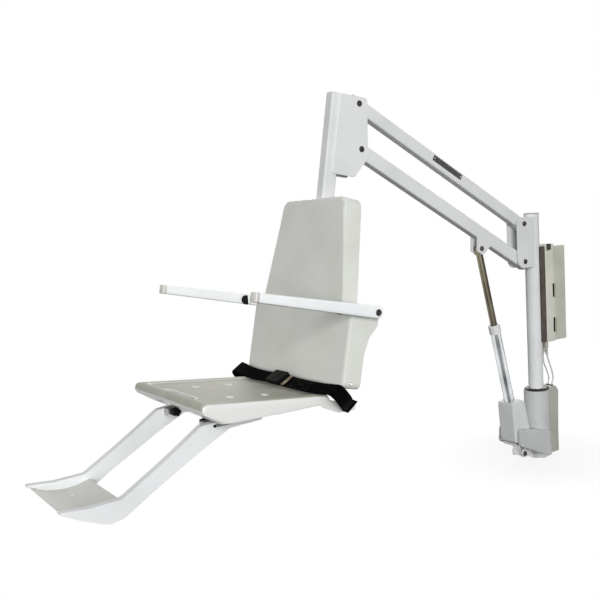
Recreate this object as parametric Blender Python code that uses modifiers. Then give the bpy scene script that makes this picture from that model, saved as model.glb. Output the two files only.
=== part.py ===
"""Pool lift: a turning deck mast, a parallelogram arm with an electric push actuator, and a hung chair.

Metres, +Z up. The origin is on the mast's axis at deck level and the chair is towards -Y.
Every size is a named value below, and each piece takes its place from those of the pieces it meets.
"""

from math import atan2, cos, hypot, pi, radians, sin, sqrt, tan

import bmesh
import bpy
from mathutils import Vector

# Clearances
GAP = 0.0003
RUN = 0.0005
FREE = 0.004

# Mast and the spigot it turns on
MAST_RADIUS = 0.03015
MAST_WALL = 0.003
MAST_TOP = 1.012
MAST_BOTTOM = 0.045
CAP_THICK = 0.0035
CAP_DEPTH = 0.018
SPIGOT_RADIUS = 0.0215
SPIGOT_TOP = 0.275
FLANGE_RADIUS = 0.042
FLANGE_THICK = 0.018
BUSH_END = 0.008

# Turning gear
GEAR_MODULE = 0.0025
GEAR_TEETH = 40
PINION_TEETH = 16
GEAR_THICK = 0.0155
MOTOR_LENGTH = 0.15

# Covers at the mast's foot
TOWER_RADIUS = 0.0507
TOWER_WALL = 0.004
TOWER_TOP = 0.283
COVER_BOTTOM = 0.010
SKIRT_TOP = 0.048
CHEEK_HALF = 0.058
CHEEK_INNER = 0.0445
CHEEK_FRONT = 0.175
CHEEK_FRONT_LOW = 0.088
CHEEK_FRONT_HIGH = 0.156
CHEEK_REAR_HIGH = 0.118
CHEEK_REAR = 0.012
COLLAR_RADIUS = 0.0475
COLLAR_THICK = 0.0075
REAR_COVER_HALF = 0.037
REAR_COVER_WALL = 0.003
REAR_COVER_TOP = 0.291
REAR_COVER_ROUND = 0.02

# Parallelogram
PIN_OFFSET = 0.078
PIN_LOW = 0.8233
PIN_SPACING = 0.152
PIN_RADIUS = 0.007
BOLT_HEAD_RADIUS = 0.0105
BOLT_HEAD_THICK = 0.006
ARM_ANGLE = radians(28.55)
ARM_LENGTH = 0.932
ARM_END = 0.025
ARM_HALF = 0.0175
ARM_WALL = 0.003
TUBE_CORNER = 0.006
UPPER_ARM_HEIGHT = 0.0455
LOWER_ARM_HEIGHT = 0.0508
SLEEVE_RADIUS = 0.0125
BRACKET_INNER = 0.0225
BRACKET_PLATE = 0.005
BRACKET_FRONT = 0.042
BRACKET_RISE = 0.0255
BRACKET_WEB = 0.0055

# Actuator
LUG_ALONG = 0.244
LUG_BELOW = 0.054
LUG_ROUND = 0.02
LUG_PLATE = 0.0024
LUG_PIN_RADIUS = 0.005
LUG_HEAD_RADIUS = 0.0095
FOOT_PIN_Y = -0.114
FOOT_PIN_Z = 0.037
FOOT_HALF = 0.02
CLEVIS_PLATE = 0.005
EYE_RADIUS = 0.0135
ROD_EYE_RADIUS = 0.0115
HOUSING_HALF = 0.040
HOUSING_LOW = 0.068
HOUSING_SHOULDER = 0.216
HOUSING_TOP = 0.235
HOUSING_REAR = 0.046
HOUSING_FRONT_LOW = 0.054
HOUSING_FRONT_HIGH = 0.032
FOOT_PLATE_THICK = 0.0137
DRIVE_MOTOR_RADIUS = 0.026
DRIVE_MOTOR_TOP = 0.146
TUBE_RADIUS = 0.0205
TUBE_WALL = 0.004
TUBE_TOP = 0.547
GLAND_RADIUS = 0.0232
GLAND_LOW = 0.5276
GLAND_TOP = 0.5625
ROD_RADIUS = 0.0135
ROD_BORE = 0.0085
ROD_LENGTH = 0.392
ROD_END = 0.024
SCREW_RADIUS = 0.007
SCREW_TOP = 0.518
NUT_THICK = 0.012
BEARING_THICK = 0.012

# Control box and battery
BOX_HALF = 0.037
BOX_FRONT = 0.035
BOX_DEPTH = 0.0553
BOX_LOW = 0.479
BOX_TOP = 0.885
BATTERY_DEPTH = 0.0713
BATTERY_DROP = 0.010
BATTERY_LIFT = 0.003
GRIP_DEPTH = 0.007
GRIP_WIDTH = 0.009
GRIP_HEIGHT = 0.065
GRIP_HEIGHTS = (0.06, 0.205)
LATCH_FRONT = 0.010
LATCH_LENGTH = 0.031
LATCH_HEIGHT = 0.0225
LATCH_TRAVEL = 0.0035
WING_FRONT = 0.005
PLUG_RADIUS = 0.009
PLUG_LENGTH = 0.033
LEAD_RADIUS = 0.003
PLUG_FRONT_PLACE = (0.003, 0.046)
PLUG_REAR_PLACE = (0.022, 0.044)

# Chair, in its own frame: origin on the lower head pin, leaned back by the recline
RECLINE = radians(11.0)
POST_HALF = 0.01905
POST_WALL = 0.003
POST_FRONT = 0.139
POST_DEPTH = 0.051
POST_TOP = 0.166
POST_BOTTOM = 0.830
HEAD_PLATE = 0.005
HEAD_LAP = 0.020
HEAD_REAR = 0.032
HEAD_LOW = 0.098
BACK_LEAN = radians(1.7)
BACK_FRONT = 0.1715
BACK_MIDDLE = 0.50
BACK_TOP = 0.308
BACK_STEP = 0.048
BACK_BOTTOM = 0.285
BACK_TOP_HALF = 0.172
BACK_STEP_HALF = 0.216
BACK_HALF = 0.275
BACK_DEPTH = 0.066
BACK_WALL = 0.005
BACK_PAD_HALF = 0.03
BACK_PADS = (0.15, -0.12)
EAR_PLATE = 0.005
ARM_PIVOT_BACK = 0.096
ARM_PIVOT_DOWN = 0.546
ARMREST_GAP = 0.0012
ARMREST_THICK = 0.030
ARMREST_TOP = 0.525
ARMREST_FRONT_LOW = 0.553
ARMREST_REAR_LOW = 0.565
ARMREST_TAIL = 0.077
ARMREST_TIP = 0.533
ARM_BOLT_RADIUS = 0.005
STOP_FORWARD = 0.119
STOP_RADIUS = 0.017
STOP_DEPTH = 0.018

# Seat, from its rear top edge: level across, rising towards the front
SEAT_BACK = 0.339
SEAT_DOWN = 0.7637
SEAT_LENGTH = 0.440
SEAT_RISE = 0.050
SEAT_HALF = 0.232
SEAT_WALL = 0.004
SEAT_REAR_DEPTH = 0.021
SEAT_FRONT_LOW = 0.015
SEAT_FRONT_BACK = 0.068
SEAT_LIP = 0.031
SEAT_LIP_BACK = 0.004
SEAT_RIM_UP = 0.007
SEAT_DISH = 0.008
SEAT_DISH_EDGE = 0.03
SEAT_DISH_ROUND = 0.03
SEAT_ARCH_HALF = 0.122
SEAT_ARCH_ROUND = 0.03
SEAT_RIM = 0.013
HAND_SLOT_HALF = 0.097
HAND_SLOT_WIDTH = 0.021
HAND_SLOT_BACK = 0.051
DRAIN_RADIUS = 0.009
DRAIN_HALF = 0.11
DRAIN_BACKS = (0.16, 0.28)
ANCHOR_PLATE = 0.004
ANCHOR_LOW = 0.055
ANCHOR_BACK = 0.094

# Seat frame and footrest, heights below the seat's rear top edge
RAIL_TOP = 0.0215
RAIL_HEIGHT = 0.0215
RAIL_WIDTH = 0.027
RAIL_FRONT = 0.384
RAIL_REAR = 0.166
CROSS_HALF = 0.0125
CROSS_FRONT = 0.300
CROSS_REAR = 0.184
CROSS_PAD_HALF = 0.05
BEAM_HALF = 0.02
BEAM_HEIGHT = 0.034
LEG_INNER = 0.132
LEG_THICK = 0.024
SLOT_TRAVEL = 0.07
STUD_RADIUS = 0.004
STUD_BACK = 0.361
STUD_DOWN = 0.032
KNOB_RADIUS = 0.0155
KNOB_THICK = 0.018
FOOT_SHEET = 0.006
FOOT_HOLE_RADIUS = 0.006
FOOT_HOLE_HALF = 0.05

# Belt, in the chair's level frame, from the seat's rear top edge
BELT_WIDTH = 0.05
BELT_THICK = 0.0024
BELT_FORWARD = 0.026
BELT_UP = 0.0255
BELT_LEAN = radians(27.8)
BUCKLE_X = -0.02
BUCKLE_LENGTH = 0.075
BUCKLE_WIDTH = 0.054
BUCKLE_THICK = 0.018
BUCKLE_UP = 0.0315
BUTTON_LENGTH = 0.02
BUTTON_WIDTH = 0.03
BUTTON_TRAVEL = 0.002

SIDE_ON = (pi / 2, 0, pi / 2)
FACE_ON = (pi / 2, 0, 0)
UPRIGHT = (0, 0, 0)
ALONG_X = (0, pi / 2, 0)

for old in list(bpy.data.objects):
    bpy.data.objects.remove(old)
PARTS = bpy.data.collections.new("pool_lift")
TOOLS = bpy.data.collections.new("cutters")
TOOLS.hide_render = True
bpy.context.scene.collection.children.link(PARTS)
bpy.context.scene.collection.children.link(TOOLS)


def finish(name, colour, roughness, metallic=0.0):
    made = bpy.data.materials.new(name)
    made.use_nodes = True
    shader = made.node_tree.nodes["Principled BSDF"]
    shader.inputs["Base Color"].default_value = (*colour, 1)
    shader.inputs["Roughness"].default_value = roughness
    shader.inputs["Metallic"].default_value = metallic
    return made


WHITE = finish("white_coat", (0.74, 0.76, 0.76), 0.4)
STEEL = finish("stainless", (0.6, 0.61, 0.62), 0.3, 1.0)
BLACK = finish("black_fixing", (0.02, 0.02, 0.02), 0.45)
BRONZE = finish("bronze", (0.55, 0.4, 0.2), 0.4, 1.0)
COVER = finish("grey_cover", (0.44, 0.45, 0.45), 0.5)
SHELL = finish("dark_shell", (0.22, 0.22, 0.19), 0.55)
BOX = finish("box_plastic", (0.48, 0.49, 0.42), 0.5)
PLATE = finish("dark_bracket", (0.05, 0.035, 0.03), 0.5)
CHAIR = finish("chair_shell", (0.6, 0.61, 0.57), 0.45)
WEB = finish("webbing", (0.012, 0.012, 0.013), 0.8)
LEAD = finish("lead_cover", (0.55, 0.55, 0.5), 0.5)


def empty(name, at, turn=(0, 0, 0), holder=None):
    made = bpy.data.objects.new(name, None)
    made.empty_display_size = 0.05
    PARTS.objects.link(made)
    made.parent = holder
    made.location = at
    made.rotation_euler = turn
    return made


def place(name, mesh, look, holder=None, at=(0, 0, 0), turn=(0, 0, 0)):
    made = bpy.data.objects.new(name, mesh)
    PARTS.objects.link(made)
    mesh.materials.clear()
    mesh.materials.append(look)
    made.parent = holder
    made.location = at
    made.rotation_euler = turn
    return made


def boolean(target, tool, operation):
    PARTS.objects.unlink(tool)
    TOOLS.objects.link(tool)
    tool.hide_render = True
    tool.display_type = "WIRE"
    step = target.modifiers.new(tool.name, "BOOLEAN")
    step.operation = operation
    step.solver = "EXACT"
    step.object = tool


def cut(target, tool):
    boolean(target, tool, "DIFFERENCE")


def join(target, tool):
    boolean(target, tool, "UNION")


def mesh_of(name, shape):
    bmesh.ops.recalc_face_normals(shape, faces=shape.faces)
    mesh = bpy.data.meshes.new(name)
    shape.to_mesh(mesh)
    shape.free()
    return mesh


def block(name, low, high, look, holder=None, rim=0.0, at=(0, 0, 0), turn=(0, 0, 0)):
    """A box between two corners, with its edges rounded by rim."""
    shape = bmesh.new()
    bmesh.ops.create_cube(shape, size=1)
    low = Vector(low)
    size = Vector(high) - low
    for vert in shape.verts:
        vert.co = low + Vector([(c + 0.5) * s for c, s in zip(vert.co, size)])
    if rim:
        bmesh.ops.bevel(shape, geom=shape.edges[:], offset=rim, segments=2, profile=0.5, affect="EDGES")
    return place(name, mesh_of(name, shape), look, holder, at, turn)


def turned(name, profile, look, holder=None, at=(0, 0, 0), turn=(0, 0, 0), sides=24):
    """A profile of (radius, height) pairs, top to bottom on its outer side, swept round its own axis."""
    count = len(profile)
    edges = [(i, i + 1) for i in range(count - 1)]
    if profile[0][0] > 0:
        edges.append((count - 1, 0))
    mesh = bpy.data.meshes.new(name)
    mesh.from_pydata([(r, 0, z) for r, z in profile], edges, [])
    made = place(name, mesh, look, holder, at, turn)
    screw = made.modifiers.new("turn", "SCREW")
    screw.axis = "Z"
    screw.steps = sides
    screw.render_steps = sides
    screw.use_merge_vertices = True
    screw.merge_threshold = 0.00001
    screw.use_smooth_shade = False
    return made


def ring(outer, inner, low, high):
    return [(outer, high), (outer, low), (inner, low), (inner, high)]


def rod(radius, low, high):
    return [(0, high), (radius, high), (radius, low), (0, low)]


def bolt(radius, half, head_radius, head_thick):
    """A pin along its axis with a low domed head at each end."""
    top = half + head_thick
    mid = half + head_thick / 3
    dome = head_radius * 0.65
    upper = [(0, top), (dome, top), (head_radius, mid), (head_radius, half), (radius, half)]
    return upper + [(r, -z) for r, z in reversed(upper)]


def area(points):
    return sum(a[0] * b[1] - b[0] * a[1] for a, b in zip(points, points[1:] + points[:1]))


def rounded(corners, steps=4):
    """The points of an outline, with an arc at each corner (u, v, radius)."""
    points = []
    count = len(corners)
    for i, (u, v, radius) in enumerate(corners):
        corner = Vector((u, v))
        before = (Vector(corners[i - 1][:2]) - corner).normalized()
        after = (Vector(corners[(i + 1) % count][:2]) - corner).normalized()
        half = before.angle(after) / 2
        if radius <= 0 or half > pi / 2 - 0.01:
            points.append((u, v))
            continue
        middle = corner + (before + after).normalized() * (radius / sin(half))
        first = corner + before * (radius / tan(half)) - middle
        last = corner + after * (radius / tan(half)) - middle
        start = atan2(first.y, first.x)
        sweep = atan2(first.x * last.y - first.y * last.x, first.dot(last))
        for step in range(steps + 1):
            angle = start + sweep * step / steps
            points.append((middle.x + radius * cos(angle), middle.y + radius * sin(angle)))
    return points if area(points) > 0 else points[::-1]


def tube_section(left, low, right, high, corner):
    """The section of a rectangular tube, with its four corners rounded."""
    return rounded(
        [(left, low, corner), (right, low, corner), (right, high, corner), (left, high, corner)]
    )


def inset(corners, depths):
    """Corners of an outline, given anticlockwise, with edge i (from corner i on) moved in by depths[i]."""
    count = len(corners)
    made = []
    for i, (u, v, radius) in enumerate(corners):
        corner = Vector((u, v))
        along = (corner - Vector(corners[i - 1][:2])).normalized()
        onward = (Vector(corners[(i + 1) % count][:2]) - corner).normalized()
        depth_a = depths[i - 1]
        depth_b = depths[i]
        start = corner + Vector((-along.y, along.x)) * depth_a
        goal = corner + Vector((-onward.y, onward.x)) * depth_b
        cross = along.x * onward.y - along.y * onward.x
        reach = ((goal.x - start.x) * onward.y - (goal.y - start.y) * onward.x) / cross
        point = start + along * reach
        turn_in = min(depth_a, depth_b) if cross > 0 else -max(depth_a, depth_b)
        made.append((point.x, point.y, max(radius - turn_in, 0.0) if radius else 0.0))
    return made


def slab(name, outline, half, look, holder=None, at=(0, 0, 0), turn=SIDE_ON, rim=0.0, ends=(-1, 1)):
    """An outline made a solid of thickness 2 half, with the rims of the named ends rounded."""
    shape = bmesh.new()
    lower = [shape.verts.new((u, v, -half)) for u, v in outline]
    upper = [shape.verts.new((u, v, half)) for u, v in outline]
    shape.faces.new(lower[::-1])
    shape.faces.new(upper)
    for i in range(len(outline)):
        shape.faces.new((lower[i - 1], lower[i], upper[i], upper[i - 1]))
    if rim:
        levels = [half * end for end in ends]
        edges = [e for e in shape.edges if any(all(abs(v.co.z - z) < 1e-7 for v in e.verts) for z in levels)]
        bmesh.ops.bevel(shape, geom=edges, offset=rim, segments=2, profile=0.5, affect="EDGES")
    return place(name, mesh_of(name, shape), look, holder, at, turn)


def from_curve(name, curve, look, holder, at, turn):
    """The solid of a filled or bevelled curve, its caps joined to its sides."""
    drawn = bpy.data.objects.new(name + "_curve", curve)
    PARTS.objects.link(drawn)
    graph = bpy.context.evaluated_depsgraph_get()
    mesh = bpy.data.meshes.new_from_object(drawn.evaluated_get(graph))
    bpy.data.objects.remove(drawn)
    shape = bmesh.new()
    shape.from_mesh(mesh)
    bmesh.ops.remove_doubles(shape, verts=shape.verts, dist=1e-6)
    return place(name, mesh_of(name, shape), look, holder, at, turn)


def plate(name, outline, half, look, holes=(), holder=None, at=(0, 0, 0), turn=SIDE_ON):
    """A flat plate of thickness 2 half from an outline and its holes."""
    curve = bpy.data.curves.new(name, "CURVE")
    curve.dimensions = "2D"
    curve.fill_mode = "BOTH"
    curve.extrude = half
    for loop in (outline, *holes):
        spline = curve.splines.new("POLY")
        spline.points.add(len(loop) - 1)
        for point, (u, v) in zip(spline.points, loop):
            point.co = (u, v, 0, 1)
        spline.use_cyclic_u = True
    return from_curve(name, curve, look, holder, at, turn)


def wire(name, route, radius, look):
    """A round lead along a smooth route."""
    curve = bpy.data.curves.new(name, "CURVE")
    curve.dimensions = "3D"
    curve.resolution_u = 6
    curve.bevel_depth = radius
    curve.bevel_resolution = 2
    curve.use_fill_caps = True
    spline = curve.splines.new("BEZIER")
    spline.bezier_points.add(len(route) - 1)
    for point, co in zip(spline.bezier_points, route):
        point.co = co
        point.handle_left_type = "AUTO"
        point.handle_right_type = "AUTO"
    return from_curve(name, curve, look, None, (0, 0, 0), (0, 0, 0))


def circle(u, v, radius, sides=14):
    turns = [2 * pi * k / sides for k in range(sides)]
    return [(u + radius * cos(turn), v + radius * sin(turn)) for turn in turns]


def stadium(u, v, reach, radius, steps=6):
    """A slot of half length reach, its ends round."""
    turns = [pi * k / steps for k in range(steps + 1)]
    right = [(u + reach - radius + radius * sin(turn), v - radius * cos(turn)) for turn in turns]
    return right + [(2 * u - a, 2 * v - b) for a, b in right]


def gear_outline(teeth, phase):
    """Straight-flanked teeth with backlash, one of them centred on phase."""
    pitch = GEAR_MODULE * teeth / 2
    points = []
    for tooth in range(teeth):
        middle = phase + 2 * pi * tooth / teeth
        for rise, width in ((-1.2, -4.4), (0.8, -1.5), (0.8, 1.5), (-1.2, 4.4)):
            radius = pitch + rise * GEAR_MODULE
            angle = middle + width * GEAR_MODULE / 4 / radius
            points.append((radius * cos(angle), radius * sin(angle)))
    return points


# Spigot in the deck socket, and the fixed gear on its flange
turned(
    "anchor_spigot",
    [
        (0, SPIGOT_TOP),
        (SPIGOT_RADIUS, SPIGOT_TOP),
        (SPIGOT_RADIUS, FLANGE_THICK),
        (FLANGE_RADIUS, FLANGE_THICK),
        (FLANGE_RADIUS, 0),
        (0, 0),
    ],
    STEEL,
    sides=32,
)
gear_low = FLANGE_THICK + GAP
gear_middle = gear_low + GEAR_THICK / 2
plate(
    "turn_gear",
    gear_outline(GEAR_TEETH, pi / 2),
    GEAR_THICK / 2,
    STEEL,
    [circle(0, 0, SPIGOT_RADIUS + GAP, 32)],
    at=(0, 0, gear_middle),
    turn=(0, 0, 0),
)

# Mast, its cap and the bush inside it
mast_inner = MAST_RADIUS - MAST_WALL
turned("mast_tube", ring(MAST_RADIUS, mast_inner, MAST_BOTTOM, MAST_TOP), WHITE, sides=32)
cap_low = MAST_TOP + GAP
turned(
    "mast_cap",
    [
        (0, cap_low + CAP_THICK),
        (MAST_RADIUS - CAP_THICK / 2, cap_low + CAP_THICK),
        (MAST_RADIUS, cap_low + CAP_THICK / 2),
        (MAST_RADIUS, cap_low),
        (mast_inner - GAP, cap_low),
        (mast_inner - GAP, MAST_TOP - CAP_DEPTH),
        (0, MAST_TOP - CAP_DEPTH),
    ],
    COVER,
    sides=32,
)
bush_top = SPIGOT_TOP + GAP + BUSH_END
bush_low = MAST_BOTTOM + GAP
turned(
    "spindle_bush",
    [
        (0, bush_top),
        (mast_inner - GAP, bush_top),
        (mast_inner - GAP, bush_low),
        (SPIGOT_RADIUS + RUN, bush_low),
        (SPIGOT_RADIUS + RUN, SPIGOT_TOP + GAP),
        (0, SPIGOT_TOP + GAP),
    ],
    BRONZE,
    sides=32,
)

# Pinion and turn motor behind the mast
pinion_y = GEAR_MODULE * (GEAR_TEETH + PINION_TEETH) / 2
pinion_tip = GEAR_MODULE * (PINION_TEETH / 2 + 0.8)
pinion_axis = empty("pinion_axis", (0, pinion_y, gear_middle))
pinion_gap = -pi / 2 + pi / PINION_TEETH
plate(
    "turn_pinion",
    gear_outline(PINION_TEETH, pinion_gap),
    GEAR_THICK / 2,
    STEEL,
    holder=pinion_axis,
    turn=(0, 0, 0),
)
motor_radius = pinion_y - TOWER_RADIUS - 2 * RUN
motor_low = SKIRT_TOP + TOWER_WALL + RUN
shaft_low = gear_low + GEAR_THICK + GAP
turned(
    "turn_motor",
    [
        (0, motor_low + MOTOR_LENGTH),
        (motor_radius * 0.7, motor_low + MOTOR_LENGTH),
        (motor_radius, motor_low + MOTOR_LENGTH * 0.96),
        (motor_radius, motor_low),
        (motor_radius * 0.5, motor_low),
        (motor_radius * 0.5, shaft_low),
        (0, shaft_low),
    ],
    BLACK,
    at=(0, pinion_y, 0),
)

# Drive cover: round tower and skirt, and the two cheeks beside the actuator's foot
gear_tip = GEAR_MODULE * (GEAR_TEETH / 2 + 0.8)
skirt_radius = gear_tip + RUN + TOWER_WALL
cover_edge = TOWER_WALL
cover = turned(
    "drive_cover",
    [
        (0, TOWER_TOP),
        (TOWER_RADIUS - cover_edge, TOWER_TOP),
        (TOWER_RADIUS - cover_edge * 0.3, TOWER_TOP - cover_edge * 0.3),
        (TOWER_RADIUS, TOWER_TOP - cover_edge),
        (TOWER_RADIUS, SKIRT_TOP + cover_edge),
        (skirt_radius, SKIRT_TOP),
        (skirt_radius, COVER_BOTTOM),
        (0, COVER_BOTTOM),
    ],
    COVER,
    sides=32,
)
join(
    cover,
    slab(
        "cover_cheeks",
        rounded(
            [
                (-CHEEK_FRONT, CHEEK_FRONT_LOW, 0.01),
                (-CHEEK_REAR, COVER_BOTTOM + 0.002, 0),
                (CHEEK_REAR, COVER_BOTTOM + 0.002, 0),
                (CHEEK_REAR, CHEEK_REAR_HIGH, 0.012),
                (-CHEEK_FRONT, CHEEK_FRONT_HIGH, 0.014),
            ]
        ),
        CHEEK_HALF,
        COVER,
        rim=0.009,
    ),
)
cut(
    cover,
    turned(
        "cover_hollow",
        [
            (0, TOWER_TOP + FREE),
            (MAST_RADIUS + RUN, TOWER_TOP + FREE),
            (MAST_RADIUS + RUN, TOWER_TOP - TOWER_WALL),
            (TOWER_RADIUS - TOWER_WALL, TOWER_TOP - TOWER_WALL),
            (TOWER_RADIUS - TOWER_WALL, SKIRT_TOP - TOWER_WALL),
            (gear_tip + RUN, SKIRT_TOP - TOWER_WALL),
            (gear_tip + RUN, COVER_BOTTOM - FREE),
            (0, COVER_BOTTOM - FREE),
        ],
        COVER,
        sides=32,
    ),
)
slot_rear = skirt_radius + RUN
cut(
    cover,
    block(
        "cover_actuator_slot",
        (-CHEEK_INNER, -CHEEK_FRONT - FREE, -FREE),
        (CHEEK_INNER, -slot_rear, TOWER_TOP - TOWER_WALL),
        COVER,
    ),
)
clevis_outer = FOOT_HALF + RUN + CLEVIS_PLATE
clevis_top = 0.100
clevis_low = SKIRT_TOP - 2 * TOWER_WALL
cut(
    cover,
    block(
        "cover_clevis_slot",
        (-clevis_outer - FREE, -slot_rear - FREE, -FREE),
        (clevis_outer + FREE, -MAST_RADIUS, clevis_top + 2 * FREE),
        COVER,
    ),
)
cut(
    cover,
    block(
        "cover_pinion_slot",
        (-pinion_tip - FREE / 2, MAST_RADIUS, COVER_BOTTOM - FREE),
        (pinion_tip + FREE / 2, skirt_radius + FREE, gear_low + GEAR_THICK + FREE / 2),
        COVER,
    ),
)

turned(
    "mast_collar",
    [
        (COLLAR_RADIUS - COLLAR_THICK / 2, TOWER_TOP + GAP + COLLAR_THICK),
        (COLLAR_RADIUS, TOWER_TOP + GAP + COLLAR_THICK / 2),
        (COLLAR_RADIUS, TOWER_TOP + GAP),
        (MAST_RADIUS + GAP, TOWER_TOP + GAP),
        (MAST_RADIUS + GAP, TOWER_TOP + GAP + COLLAR_THICK),
    ],
    BLACK,
    sides=32,
)

rear_cover_back = pinion_y + pinion_tip + 2 * RUN + REAR_COVER_WALL
rear_rim = 3 * REAR_COVER_WALL
rear_corners = [
    (CHEEK_REAR + RUN, COVER_BOTTOM - rear_rim - FREE, 0),
    (rear_cover_back, COVER_BOTTOM - rear_rim - FREE, 0),
    (rear_cover_back, REAR_COVER_TOP, REAR_COVER_ROUND),
    (CHEEK_REAR + RUN, REAR_COVER_TOP, 0),
]
rear_cover = slab("rear_cover", rounded(rear_corners, 6), REAR_COVER_HALF, SHELL, rim=rear_rim)
rear_inner = inset(rear_corners, (-3 * FREE, REAR_COVER_WALL, REAR_COVER_WALL, -3 * FREE))
cut(
    rear_cover,
    slab(
        "rear_cover_hollow",
        rounded(rear_inner, 6),
        REAR_COVER_HALF - REAR_COVER_WALL,
        SHELL,
        rim=rear_rim - REAR_COVER_WALL,
    ),
)
rear_fit = max(TOWER_RADIUS, COLLAR_RADIUS) + RUN
cut(
    rear_cover,
    turned(
        "rear_cover_fit",
        [
            (0, REAR_COVER_TOP + FREE),
            (rear_fit, REAR_COVER_TOP + FREE),
            (rear_fit, SKIRT_TOP + cover_edge + RUN),
            (skirt_radius + RUN, SKIRT_TOP + RUN),
            (skirt_radius + RUN, COVER_BOTTOM - 2 * rear_rim),
            (0, COVER_BOTTOM - 2 * rear_rim),
        ],
        SHELL,
        sides=32,
    ),
)
cut(
    rear_cover,
    block(
        "rear_cover_underside",
        (-REAR_COVER_HALF - FREE, 0, COVER_BOTTOM - 2 * rear_rim - FREE),
        (REAR_COVER_HALF + FREE, rear_cover_back + FREE, COVER_BOTTOM),
        SHELL,
    ),
)
cut(
    rear_cover,
    block(
        "rear_cover_front",
        (-REAR_COVER_HALF - FREE, 0, COVER_BOTTOM - FREE),
        (REAR_COVER_HALF + FREE, CHEEK_REAR + 2 * FREE, CHEEK_REAR_HIGH + FREE),
        SHELL,
    ),
)

# Actuator's foot clevis on the mast and its pin
clevis = plate(
    "actuator_clevis",
    rounded(
        [
            (0, clevis_low, 0),
            (0, clevis_top, 0),
            (-MAST_RADIUS - 0.022, clevis_top, 0.01),
            (FOOT_PIN_Y - 0.016, FOOT_PIN_Z + 0.013, 0.012),
            (FOOT_PIN_Y - 0.016, FOOT_PIN_Z - 0.015, 0.012),
            (FOOT_PIN_Y + 0.012, FOOT_PIN_Z - 0.015, 0.01),
            (-skirt_radius - 2 * FREE, clevis_low, 0.01),
        ]
    ),
    clevis_outer,
    WHITE,
    [circle(FOOT_PIN_Y, FOOT_PIN_Z, PIN_RADIUS + GAP)],
)
cut(
    clevis,
    block(
        "clevis_slot",
        (-FOOT_HALF - RUN, FOOT_PIN_Y - 0.02, -FREE),
        (FOOT_HALF + RUN, -MAST_RADIUS - BRACKET_WEB, clevis_top + FREE),
        WHITE,
    ),
)
cut(clevis, turned("clevis_fit", rod(MAST_RADIUS + GAP, 0, clevis_top + FREE), WHITE, sides=32))
turned(
    "actuator_foot_pin",
    bolt(PIN_RADIUS, clevis_outer + GAP, BOLT_HEAD_RADIUS, BOLT_HEAD_THICK),
    BLACK,
    at=(0, FOOT_PIN_Y, FOOT_PIN_Z),
    turn=ALONG_X,
    sides=14,
)

# Bracket at the mast's head and the two arm pins
pin_high = PIN_LOW + PIN_SPACING
bracket_outer = BRACKET_INNER + BRACKET_PLATE
bracket = plate(
    "mast_head_bracket",
    rounded(
        [
            (0, PIN_LOW - BRACKET_RISE, 0),
            (0, pin_high + BRACKET_RISE, 0),
            (-PIN_OFFSET - BRACKET_FRONT, pin_high + BRACKET_RISE, 0.024),
            (-PIN_OFFSET - BRACKET_FRONT, PIN_LOW - BRACKET_RISE, 0.034),
        ],
        6,
    ),
    bracket_outer,
    WHITE,
    [circle(-PIN_OFFSET, PIN_LOW, PIN_RADIUS + GAP), circle(-PIN_OFFSET, pin_high, PIN_RADIUS + GAP)],
)
cut(
    bracket,
    block(
        "bracket_slot",
        (-BRACKET_INNER, -PIN_OFFSET - BRACKET_FRONT - FREE, PIN_LOW - BRACKET_RISE - FREE),
        (BRACKET_INNER, -MAST_RADIUS - BRACKET_WEB, pin_high + BRACKET_RISE + FREE),
        WHITE,
    ),
)
cut(bracket, turned("bracket_fit", rod(MAST_RADIUS + GAP, MAST_BOTTOM, MAST_TOP + FREE), WHITE, sides=32))
for name, height in (("mast_pin_upper", pin_high), ("mast_pin_lower", PIN_LOW)):
    turned(
        name,
        bolt(PIN_RADIUS, bracket_outer + GAP, BOLT_HEAD_RADIUS, BOLT_HEAD_THICK),
        BLACK,
        at=(0, -PIN_OFFSET, height),
        turn=ALONG_X,
        sides=14,
    )

# Control box on its bracket, the battery behind it, and the leads down to the rear cover
box_back = BOX_FRONT + BOX_DEPTH
wing_half = BOX_HALF - 0.0015
control_bracket = block(
    "control_bracket",
    (-wing_half, WING_FRONT, BOX_LOW + FREE),
    (wing_half, BOX_FRONT - GAP, BOX_TOP - 2 * FREE),
    PLATE,
)
cut(
    control_bracket,
    turned("control_bracket_fit", rod(MAST_RADIUS + GAP, MAST_BOTTOM, MAST_TOP + FREE), PLATE, sides=32),
)
control_box = block(
    "control_box",
    (-BOX_HALF, BOX_FRONT, BOX_LOW),
    (BOX_HALF, box_back, BOX_TOP),
    BOX,
    rim=0.004,
)
latch_front = BOX_FRONT + LATCH_FRONT
latch_low = BOX_TOP - LATCH_HEIGHT
cut(
    control_box,
    block(
        "latch_pocket",
        (-BOX_HALF - FREE, latch_front - RUN, latch_low - LATCH_TRAVEL - RUN),
        (BOX_HALF + FREE, latch_front + LATCH_LENGTH + RUN, BOX_TOP + FREE),
        BOX,
    ),
)
latch_axis = empty("latch_axis", (0, latch_front + LATCH_LENGTH / 2, BOX_TOP))
block(
    "battery_latch",
    (-BOX_HALF + 0.002, -LATCH_LENGTH / 2, -LATCH_HEIGHT),
    (BOX_HALF - 0.002, LATCH_LENGTH / 2, 0.001),
    BLACK,
    latch_axis,
    rim=0.003,
)
battery_front = box_back + RUN
battery_low = BOX_LOW + BATTERY_LIFT
battery_axis = empty("battery_axis", (0, battery_front, battery_low))
battery = block(
    "battery_pack",
    (-BOX_HALF, 0, 0),
    (BOX_HALF, BATTERY_DEPTH, BOX_TOP - BATTERY_DROP - battery_low),
    BOX,
    battery_axis,
    rim=0.004,
)
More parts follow.
